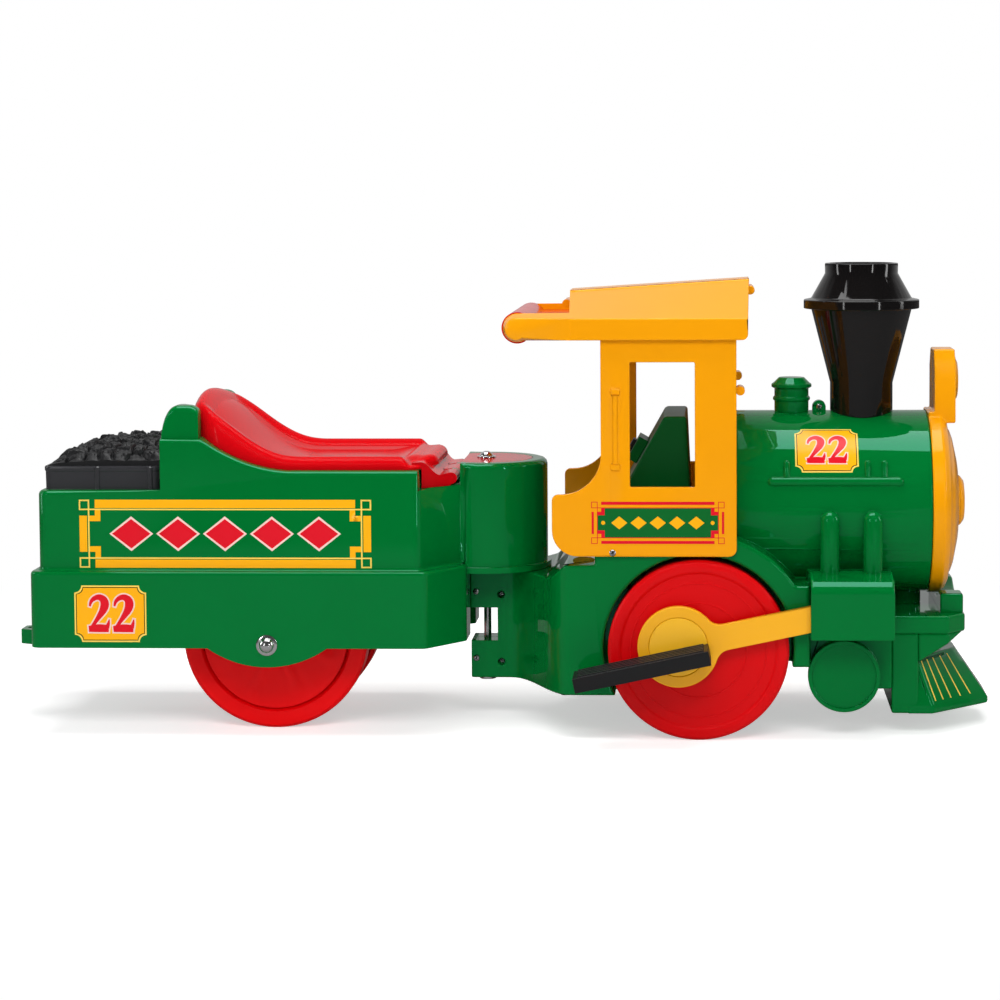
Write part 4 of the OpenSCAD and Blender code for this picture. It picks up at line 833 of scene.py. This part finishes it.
def round_rectangle(low, high, radius):
    """A rectangle with round corners, walked once round, with the outward direction at each point."""
    centres = np.array([[high[0] - radius, high[1] - radius], [low[0] + radius, high[1] - radius],
                        [low[0] + radius, low[1] + radius], [high[0] - radius, low[1] + radius]])
    ring = np.stack([arc(0, 0, 1, 90 * k, 90 * k + 90, 8) for k in range(4)])
    return (centres[:, None, :] + radius * ring).reshape(-1, 2), ring.reshape(-1, 2)


def coal_tray():
    """The tray's wall: a section with a thick rolled rim, carried round a rectangle with round corners."""
    section = np.array([(1.6, 0), (1.2, 23.5), (0.1, 25), (0, 29), (0.7, 30.4), (2, tray_height),
                        (4, tray_height), (5.4, 30.2), (6, 28.5), (6, 0)])
    path, out = round_rectangle(tray_low, tray_high, 11.0)
    x, y = (path[:, None, :] - out[:, None, :] * section[:, :1]).transpose(2, 0, 1)
    return sweep(points_of(x, y, coal_low[2] + section[:, 1]), closed=True)


def tray_ribs():
    """Half-round ribs that stand up the tray's long sides and end in a knob under the rim."""
    arch = np.radians(np.linspace(0, 180, 9))
    height = np.array([0, 22, 26, 29, 30.5])[:, None]
    width = np.array([3.4, 3.4, 4.2, 4.2, 2.6])[:, None]
    proud = np.array([0.8, 0.8, 2.2, 2.2, 0.6])[:, None]
    root = 1.5
    shells = []
    for x in (tray_low[0] + 72, tray_high[0] - 14):
        for side in (-1, 1):
            y = side * (coal_high[1] - root + (proud + root) * np.sin(arch))
            shells.append(sweep(points_of(x + width * np.cos(arch), y, coal_low[2] + height)))
    return shells


def make_coal():
    # The tray takes the black with its painted sheen.
    tray = piece_of("coal_tray", [coal_tray()] + tray_ribs(), "tray", "tender", 35)
    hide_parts("coal_load")
    piece_of("coal_heap", [coal_heap()], "coal", "tender", 24)


make_coal()


# Printing

def on_flat(x0, y, z0):
    """Lays a drawing on an upright side: u forwards from x0, v up from z0, h out of the side at -y."""
    return lambda u, v, h: points_of(x0 + u, -y - h, z0 + v)


def on_boiler(x0, start):
    """Wraps a drawing round the boiler: v is the arc up from the start angle, h the height above it."""
    def lay(u, v, h):
        angle = math.radians(start) + v / boiler_r
        r = boiler_r + h
        return points_of(x0 + u, -r * np.cos(angle), boiler_z + r * np.sin(angle))
    return lay


print_sink = 0.3


def printed(name, shells, ink, body):
    """A printed piece in one ink."""
    piece_of(name, shells, ink, body)


def bars(rows, lay, h):
    """Printed bars, each (u0, u1, v0, v1), as flat blocks h proud of their carrier."""
    shells = []
    for u0, u1, v0, v1 in rows:
        v = np.linspace(v0, v1, max(2, int(abs(v1 - v0) / 4)))
        u = np.broadcast_to(np.array([u0, u1, u1, u0]), (len(v), 4))
        shells.append(sweep(lay(u, v[:, None], np.array([h, h, -print_sink, -print_sink]))))
    return shells


def strip(left, right, lay, h, closed=False):
    """A printed strip between two lines, h proud of its carrier."""
    u, v = np.stack([left, right, right, left], axis=1).transpose(2, 0, 1)
    return sweep(lay(u, v, np.array([h, h, -print_sink, -print_sink])), closed)


def ribbon(path, half, lay, h):
    """A printed stroke: a path with a half width at each point, offset to both sides along its normals."""
    run = np.gradient(path, axis=0)
    run /= np.hypot(*run.T)[:, None]
    out = np.stack([-run[:, 1], run[:, 0]], axis=1) * half[:, None]
    return strip(path + out, path - out, lay, h)


def loop_line(outline, centre, inset, width, lay, h):
    """A closed printed line that follows an outline at an inset towards its centre."""
    away = outline - centre
    reach = np.abs(away).max(axis=0)
    rings = [centre + away * (reach - d) / reach for d in (inset, inset + width)]
    return strip(*rings, lay, h, closed=True)


def field(outline, centre, inset, lay, h):
    """A printed area: rings from an outline, drawn in by an inset, to its centre, with an edge downwards."""
    away = outline - centre
    reach = np.abs(away).max(axis=0)
    edge = away * (reach - inset) / reach
    share = np.array([1, 1, 0.8, 0.6, 0.4, 0.2, 0])[:, None, None]
    spot = centre + edge * share
    height = np.array([-print_sink, h, h, h, h, h, h])[:, None]
    return sheet(lay(spot[..., 0], spot[..., 1], height))


def notched_plate(width, height, notch):
    """A plate's outline: a rectangle with corners bitten by quarter circles and points along its sides."""
    bite = arc(0, 0, notch, 0, 90, 8)[::-1]
    along = np.linspace(0, 1, 18)[1:-1, None]
    quarter = np.array([[0, -1], [1, 0]])
    bites = []
    for k, corner in enumerate(([0, 0], [width, 0], [width, height], [0, height])):
        bites.append(np.array(corner) + bite @ np.linalg.matrix_power(quarter, k).T)
    points = []
    for k in range(4):
        points += [bites[k], bites[k][-1] + (bites[(k + 1) % 4][0] - bites[k][-1]) * along]
    return np.concatenate(points)


def smooth_path(knots):
    """A Catmull-Rom curve through a list of knots of any width."""
    p = np.array(knots, float)
    p = np.concatenate([2 * p[:1] - p[1:2], p, 2 * p[-1:] - p[-2:-1]])
    t = np.linspace(0, 1, 8, endpoint=False)[None, :, None]
    a, b, c, d = p[:-3, None], p[1:-2, None], p[2:-1, None], p[3:, None]
    curve = 0.5 * (2 * b + (c - a) * t + (2 * a - 5 * b + 4 * c - d) * t ** 2
                   + (3 * b - a - 3 * c + d) * t ** 3)
    return np.concatenate([curve.reshape(-1, p.shape[1]), p[-2:-1]])


# A figure two one unit high: knots of its bow, its foot and the flag at the foot's end, with half widths
two_bow = [(0.035, 0.68, 0.024), (0.07, 0.80, 0.045), (0.16, 0.89, 0.062), (0.28, 0.92, 0.078),
           (0.39, 0.86, 0.100), (0.43, 0.74, 0.112), (0.39, 0.59, 0.100), (0.29, 0.43, 0.072),
           (0.19, 0.29, 0.052), (0.11, 0.17, 0.046), (0.07, 0.11, 0.046)]
two_foot = [(0.0, 0.085, 0.080), (0.14, 0.098, 0.096), (0.30, 0.105, 0.105), (0.53, 0.095, 0.095)]
two_flag = [(0.485, 0.12, 0.060), (0.52, 0.23, 0.040), (0.545, 0.34, 0.012)]


def figure_two(corner, height, widen, lay, h):
    """Strokes of a figure two; widen makes the strokes of its outline."""
    shells = []
    for lift, knots in enumerate((two_bow, two_foot, two_flag)):
        stroke = smooth_path(knots) * height
        path = stroke[:, :2] + np.array(corner)
        if widen:
            ends = np.diff(path[[1, 0, -2, -1]], axis=0)[[0, 2]]
            ends *= widen / np.hypot(*ends.T)[:, None]
            path = np.concatenate([path[:1] + ends[:1], path, path[-1:] + ends[1:]])
            stroke = stroke[[0, *range(len(stroke)), -1]]
        shells.append(ribbon(path, stroke[:, 2] + widen, lay, h + 0.02 * lift))
    return shells


def number_plate(name, lay, width, height, notch, digit, corners, body):
    """A notched yellow plate with a pale border, a thin dark line and the number twenty-two."""
    line_inset, line_width, widen = 2.0, 1.2, digit * 0.035
    outline = notched_plate(width, height, notch)
    centre = np.array([width, height]) / 2
    line = loop_line(outline, centre, line_inset, line_width, lay, 0.16)
    inside = field(outline, centre, line_inset + line_width, lay, 0.16)
    printed(name + "_border", [field(outline, centre, 0, lay, 0.10)], "pale_print", body)
    printed(name + "_line", [line], "dark_print", body)
    printed(name + "_field", [inside], "yellow_print", body)
    outlines = [shell for corner in corners for shell in figure_two(corner, digit, widen, lay, 0.22)]
    figures = [shell for corner in corners for shell in figure_two(corner, digit, 0, lay, 0.34)]
    printed(name + "_outline", outlines, "white_print", body)
    printed(name + "_figures", figures, "red_print", body)


def lozenges(centres, half, lay, h):
    """Printed lozenges about their centres."""
    shells = []
    for centre in centres:
        corner = np.array([(half[0], 0), (0, half[1]), (-half[0], 0), (0, -half[1])]) + np.array(centre)
        shells.append(field(corner, np.array(centre, float), 0, lay, h))
    return shells


def mirrored_corners(rows, width, height):
    """Bars drawn for one corner, repeated in all four corners of a frame."""
    made = []
    for u0, u1, v0, v1 in rows:
        for flip_u in (False, True):
            for flip_v in (False, True):
                u = (width - u1, width - u0) if flip_u else (u0, u1)
                v = (height - v1, height - v0) if flip_v else (v0, v1)
                made.append((*u, *v))
    return made


def stepped_frame(width, height, band, step, thin, square):
    """Bars of a frame: thick bands that step in at the corners, thin lines that cross in hollow squares."""
    back = square + step
    thick = [(back, width - back, 0, band), (back, width - back, height - band, height),
             (0.5, band - 0.5, back, height - back),
             (width - band + 0.5, width - 0.5, back, height - back)]
    thick += mirrored_corners([(back, back + step, square, back + step), (square, back, back, back + step)],
                              width, height)
    lines = [(0, width, v, v + thin) for v in (square - thin, height - square)]
    stretches = ((0, square - thin), (square, height - square), (height - square + thin, height))
    for u in (square - thin, width - square):
        lines += [(u, u + thin, *stretch) for stretch in stretches]
    lines += mirrored_corners([(0, square - thin, 0, thin), (0, thin, thin, square - thin)], width, height)
    return thick, lines


def tender_frame():
    """The frame on the tender's side with a row of lozenges."""
    left, bottom, width, height, pitch = -542.0, 224.0, 386.0, 90.0, 62.0
    lay = on_flat(left, box_y, bottom)
    thick, lines = stepped_frame(width, height, 11.0, 7.3, 1.9, 13.8)
    printed("tender_frame_bands", bars(thick, lay, 0.2), "yellow_print", "tender")
    printed("tender_frame_lines", bars(lines, lay, 0.16), "pale_print", "tender")
    spots = [(width / 2 + k * pitch, height / 2) for k in range(-2, 3)]
    printed("tender_lozenge_edges", lozenges(spots, (29, 23), lay, 0.12), "white_print", "tender")
    printed("tender_lozenges", lozenges(spots, (25.5, 19.5), lay, 0.2), "red_print", "tender")


def cab_plate():
    """The plate on the cab's side: a red stepped frame round a green field with dots and lozenges."""
    left, bottom, width, height, pitch = 132.3, 258.0, 173.0, 55.0, 25.0
    lay = on_flat(left, panel_y, bottom)
    square, step, band, dot_inset = 8.4, 4.6, 4.0, 15.5
    thick, lines = stepped_frame(width, height, band, step, 0.9, square)
    back = square + step
    green = [(back, width - back, square, height - square), (square, back, back, height - back),
             (width - back, width - square, back, height - back)]
    printed("cab_plate_field", bars(green, lay, 0.1), "green_print", "engine")
    printed("cab_plate_band", bars(thick, lay, 0.2) + bars(lines, lay, 0.16), "red_print", "engine")
    ends = np.array([(dot_inset, height / 2), (width - dot_inset, height / 2)])
    dots = [field(circle(2.6, 24) + spot, spot, 0, lay, 0.22) for spot in ends]
    spots = [(width / 2 + k * pitch, height / 2) for k in range(-2, 3)]
    dots += lozenges(spots, (10.5, 8.5), lay, 0.22)
    printed("cab_plate_dots", dots, "yellow_print", "engine")


def plow_lines():
    """Five lines on each face of the plow, carried up the blend between its lower and upper edge."""
    proud, sunk, half = 0.35, 0.8, 0.009
    foot = np.array([(*plow_foot[1], plow_heights[1]), (*plow_foot[2], plow_heights[1])]) * (1, -1, 1)
    head = np.array([(*plow_head[1], plow_heights[2]), (*plow_head[2], plow_heights[2])]) * (1, -1, 1)
    share = np.linspace(0.13, 0.96, 12)[:, None, None]
    shells = []
    for s in (0.08, 0.22, 0.37, 0.55, 0.74):
        aside = s + np.array([-half, half])[None, :, None]
        low = foot[0] + (foot[1] - foot[0]) * aside
        high = head[0] + (head[1] - head[0]) * aside
        line = low + (high - low) * share
        run = (foot[1] - foot[0]) * (1 - share) + (head[1] - head[0]) * share
        out = np.cross(run, high - low)
        out /= np.linalg.norm(out, axis=-1, keepdims=True)
        band = np.stack([line[:, 0] + proud * out[:, 0], line[:, 1] + proud * out[:, 1],
                         line[:, 1] - sunk * out[:, 1], line[:, 0] - sunk * out[:, 0]], axis=1)
        shells += [sweep(band), sweep(band * np.array([1, -1, 1]))]
    printed("plow_lines", shells, "pale_print", "engine")


tender_frame()
cab_plate()
number_plate("tender_number", on_flat(-547.5, skirt_y, 127.2), 95.1, 74.8, 9.4, 50.3,
             [(18.6, 13.0), (51.2, 13.0)], "tender")
number_plate("boiler_number", on_boiler(398.6, 24.0), 83.0, 70.0, 8.4, 44.0,
             [(15.2, 13.0), (43.6, 13.0)], "engine")
plow_lines()


# Fasteners and wheel detail

def out_from_side(x, y, z, side):
    """Places a turned form on an upright side, its axis pointing out of the train."""
    return lambda a, b, h: points_of(x + a, side * (y + h), z + b)


head_height = 2.3
pan_head = [(0, head_height), (1.6, 2.2), (3.0, 1.8), (4.0, 1.1), (4.5, 0.3), (4.5, -0.5), (0, -0.5)]
shell_screw_places = [(-30, 30, 174.7), (4, 22, 170.7), (-30, 30, 84), (4, 22, 79), (434, 7, 423)]
cab_screw_places = [(160, 161, 246)]
acorn = [(0, 10.0), (3, 9.7), (6, 8.4), (8.4, 6.2), (9.8, 3.6), (10.2, 2.2), (12.6, 2.0), (13.7, 1.4),
         (14, 0.6), (14, -0.5), (0, -0.5)]


def cross_slot(x, y, z, side):
    """Two dark bars crossed at a slant, the slot in a screw's head."""
    length, width = 5.0, 1.0
    height = y + head_height + np.array([[-0.6], [0.06]])
    shells = []
    for turn in (math.radians(20), math.radians(110)):
        along = np.array([math.cos(turn), math.sin(turn)]) * length / 2
        aside = np.array([-math.sin(turn), math.cos(turn)]) * width / 2
        corner = np.array([along + aside, along - aside, -along - aside, -along + aside])
        shells.append(sweep(points_of(x + corner[:, 0], side * height, z + corner[:, 1])))
    return shells


def make_screws():
    heads = [turned(pan_head, out_from_side(*place, -1), 32) for place in shell_screw_places]
    slots = [shell for place in shell_screw_places for shell in cross_slot(*place, -1)]
    piece = piece_of("shell_screw_heads", heads, "steel", "engine")
    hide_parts("shell_screws")
    both = [(*place, side) for place in cab_screw_places for side in (-1, 1)]
    heads = [turned(pan_head, out_from_side(*place), 32) for place in both]
    slots += [shell for place in both for shell in cross_slot(*place)]
    piece = piece_of("cab_screw_heads", heads, "steel", "engine")
    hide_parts("cab_screws")
    piece_of("screw_slots", slots, "dull_black", "engine")


def make_nuts():
    caps = [turned(acorn, out_from_side(rear_axle_x, skirt_y, rear_axle_z, side), 48) for side in (-1, 1)]
    piece = piece_of("axle_cap_domes", caps, "chrome", "tender", 30)
    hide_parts("axle_caps")

    nut_x, nut_seat = (nut_low[0] + nut_high[0]) / 2, nut_low[2] + 0.6
    upright = lambda a, b, h: points_of(nut_x + a, b, nut_seat + h)
    dome = [(r * 13 / 14, h * 0.8) for r, h in acorn]
    piece = piece_of("hitch_nut_dome", [turned(dome, upright, 48)], "chrome", nodes["hitch_nut"]["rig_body"],
                     30)
    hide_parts("hitch_nut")


def rear_wheel_face(side):
    """A rear wheel's face as a polar grid, set a little back in the rim, with eight low fans."""
    face = rear_wheel_high[1] if side > 0 else -rear_wheel_low[1]
    inner, outer, sunk, fan_rise = 22.0, 96.7, 1.6, 1.3
    r = np.concatenate([np.linspace(inner, outer - 1, 30), [outer - 0.3, outer, outer]])[:, None]
    angle = np.linspace(0, 2 * np.pi, 240, endpoint=False)[None, :]
    fan = ease(1 - np.abs((np.degrees(angle) % 45) - 22.5) / 10.5)
    relief = fan_rise * fan * ease((r - 28) / 14) * (1 - ease((r - 78) / 14))
    drop = np.zeros_like(r)
    drop[-2:, 0] = (0.4, 5.0)
    place = out_from_side(rear_axle_x, face - sunk, rear_axle_z, side)
    return sheet(place(r * np.cos(angle), r * np.sin(angle), relief - drop))


def wheel_rings(side):
    """Fine raised rings for a front wheel's flat face."""
    face = front_wheel_high[1] if side > 0 else -front_wheel_low[1]
    place = out_from_side(front_axle_x, face - 3, front_axle_z, side)
    section = [(-1.2, -0.5), (-1.0, 0.35), (-0.4, 0.6), (0.4, 0.6), (1.0, 0.35), (1.2, -0.5)]
    return [turned([(r + aside, h) for aside, h in section], place, 128) for r in (62.0, 88.0)]


def make_wheel_detail():
    """Faces for the rear wheels and rings for the front ones.

    Known fault: the left ones are placed from the right wheels' boxes and lie on those wheels' inner sides.
    """
    for side, word in ((-1, "right"), (1, "left")):
        rear_body = nodes["rear_wheel_" + word]["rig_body"]
        # The rear wheel faces take the wheel red painted lighter for the shade under the tender.
        piece_of("rear_wheel_face_" + word, [rear_wheel_face(side)], "wheel", rear_body, 30)
        front_body = nodes["front_wheel_" + word]["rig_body"]
        # The front rings take the wheel red painted darker for the lamps' light.
        piece_of("front_wheel_rings_" + word, wheel_rings(side), "front_wheel", front_body)


make_screws()
make_nuts()
make_wheel_detail()


# Stage

def ray_kinds(tree):
    """1 for rays that show the background: from the camera, and through metal and glass."""
    rays = tree.nodes.new("ShaderNodeLightPath")
    shown = arithmetic(tree, "MAXIMUM", rays.outputs["Is Camera Ray"], rays.outputs["Is Transmission Ray"])
    return shown, rays.outputs["Is Glossy Ray"]


def studio_floor():
    """A white floor that keeps the shadow near the train and runs out to plain white further off."""
    size, white_from, white_at = 40.0, 0.45, 1.35
    seen_white, mirrored_white, seen_lift = 0.86, 0.26, 0.50
    corners = np.array([[-1, -1, 0], [1, -1, 0], [1, 1, 0], [-1, 1, 0]]) * size
    mesh = bpy.data.meshes.new("studio_floor")
    mesh.from_pydata(corners.tolist(), [], [[0, 1, 2, 3]])
    floor = bpy.data.objects.new("studio_floor", mesh)
    bpy.context.scene.collection.objects.link(floor)
    made, tree = new_material("studio_floor")[:2]
    tree.nodes.clear()
    matte = tree.nodes.new("ShaderNodeBsdfDiffuse")
    seen, glossy = ray_kinds(tree)
    tree.links.new(ranged(tree, glossy, 0, 1, seen_white, mirrored_white), matte.inputs["Color"])
    lift = tree.nodes.new("ShaderNodeEmission")
    tree.links.new(arithmetic(tree, "MULTIPLY", seen, seen_lift), lift.inputs["Strength"])
    near = tree.nodes.new("ShaderNodeAddShader")
    tree.links.new(matte.outputs["BSDF"], near.inputs[0])
    tree.links.new(lift.outputs["Emission"], near.inputs[1])
    white = tree.nodes.new("ShaderNodeEmission")
    reach = tree.nodes.new("ShaderNodeVectorMath")
    reach.operation = "LENGTH"
    tree.links.new(stretched_place(tree, (0.8, 1.0, 1.0)), reach.inputs[0])
    off = ranged(tree, reach.outputs["Value"], white_from, white_at, smooth=True)
    blend = tree.nodes.new("ShaderNodeMixShader")
    tree.links.new(arithmetic(tree, "MULTIPLY", off, seen), blend.inputs["Fac"])
    tree.links.new(near.outputs["Shader"], blend.inputs[1])
    tree.links.new(white.outputs["Emission"], blend.inputs[2])
    out = tree.nodes.new("ShaderNodeOutputMaterial")
    tree.links.new(blend.outputs["Shader"], out.inputs["Surface"])
    mesh.materials.append(made)


def studio_surround():
    """A white backdrop: plain white where it is seen, white behind the train in gloss, dim for light."""
    world = bpy.data.worlds.new("studio_surround")
    bpy.context.scene.world = world
    world.use_nodes = True
    tree = world.node_tree
    ambient, in_sight = 0.26, 1.0
    sky = tree.nodes["Background"]
    sky.inputs["Color"].default_value = (1, 1, 1, 1)
    shown, glossy = ray_kinds(tree)
    way = tree.nodes.new("ShaderNodeSeparateXYZ")
    tree.links.new(tree.nodes.new("ShaderNodeTexCoord").outputs["Generated"], way.inputs["Vector"])
    behind = ranged(tree, way.outputs["Y"], 0.0, 0.7, -0.20, 0.24, smooth=True)
    strength = arithmetic(tree, "ADD", ranged(tree, shown, 0, 1, ambient, in_sight),
                          arithmetic(tree, "MULTIPLY", glossy, behind))
    tree.links.new(strength, sky.inputs["Strength"])


def softboxes():
    """A softbox overhead, a front fill that no gloss shows, thin strips in front and one at either end."""
    for name, place, aim, size, power, glossy in (
            ("overhead_softbox", (0.0, -0.157, 2.60), (0.0, -0.156, 0.0), (2.2, 1.40), 46, True),
            ("front_fill", (0.1, -2.6, 2.3), (0.0, 0.0, 0.3), (2.4, 1.0), 50, False),
            ("front_left_strip", (-1.9, -3.0, 1.1), (0.0, 0.0, 0.3), (0.16, 1.5), 9, True),
            ("front_right_strip", (2.3, -2.9, 1.1), (0.1, 0.0, 0.3), (0.16, 1.5), 9, True),
            ("left_strip", (-3.2, -0.3, 1.2), (0.0, 0.0, 0.3), (0.4, 1.6), 12, True),
            ("right_strip", (3.2, -0.3, 1.2), (0.0, 0.0, 0.3), (0.4, 1.6), 12, True)):
        lamp = bpy.data.lights.new(name, "AREA")
        lamp.shape = "RECTANGLE"
        lamp.size, lamp.size_y = size
        lamp.energy = power
        shown = bpy.data.objects.new(name, lamp)
        bpy.context.scene.collection.objects.link(shown)
        shown.location = place
        shown.visible_glossy = glossy
        back = np.array(place) - np.array(aim)
        flat = math.hypot(back[0], back[1])
        shown.rotation_euler = (math.atan2(flat, back[2]), 0, math.atan2(back[0], -back[1]))


def photographer():
    """The photograph's camera: a long lens a little above the roof, to the right of the middle."""
    lens = bpy.data.cameras.new("photograph")
    lens.lens = 93.201
    lens.sensor_width = 36.0
    lens.shift_x, lens.shift_y = -0.0879, -0.16
    camera = bpy.data.objects.new("photograph", lens)
    bpy.context.scene.collection.objects.link(camera)
    camera.location = (0.2816, -3.4990, 0.7221)
    yaw, pitch, roll = math.radians(2.614), math.radians(-3.405), math.radians(-0.279)
    turn = Euler((0, 0, yaw)).to_matrix() @ Euler((math.pi / 2 + pitch, 0, 0)).to_matrix()
    camera.rotation_euler = (turn @ Euler((0, 0, roll)).to_matrix()).to_euler()
    bpy.context.scene.camera = camera


studio_floor()
studio_surround()
softboxes()
photographer()
bpy.context.scene.view_settings.view_transform = "Standard"
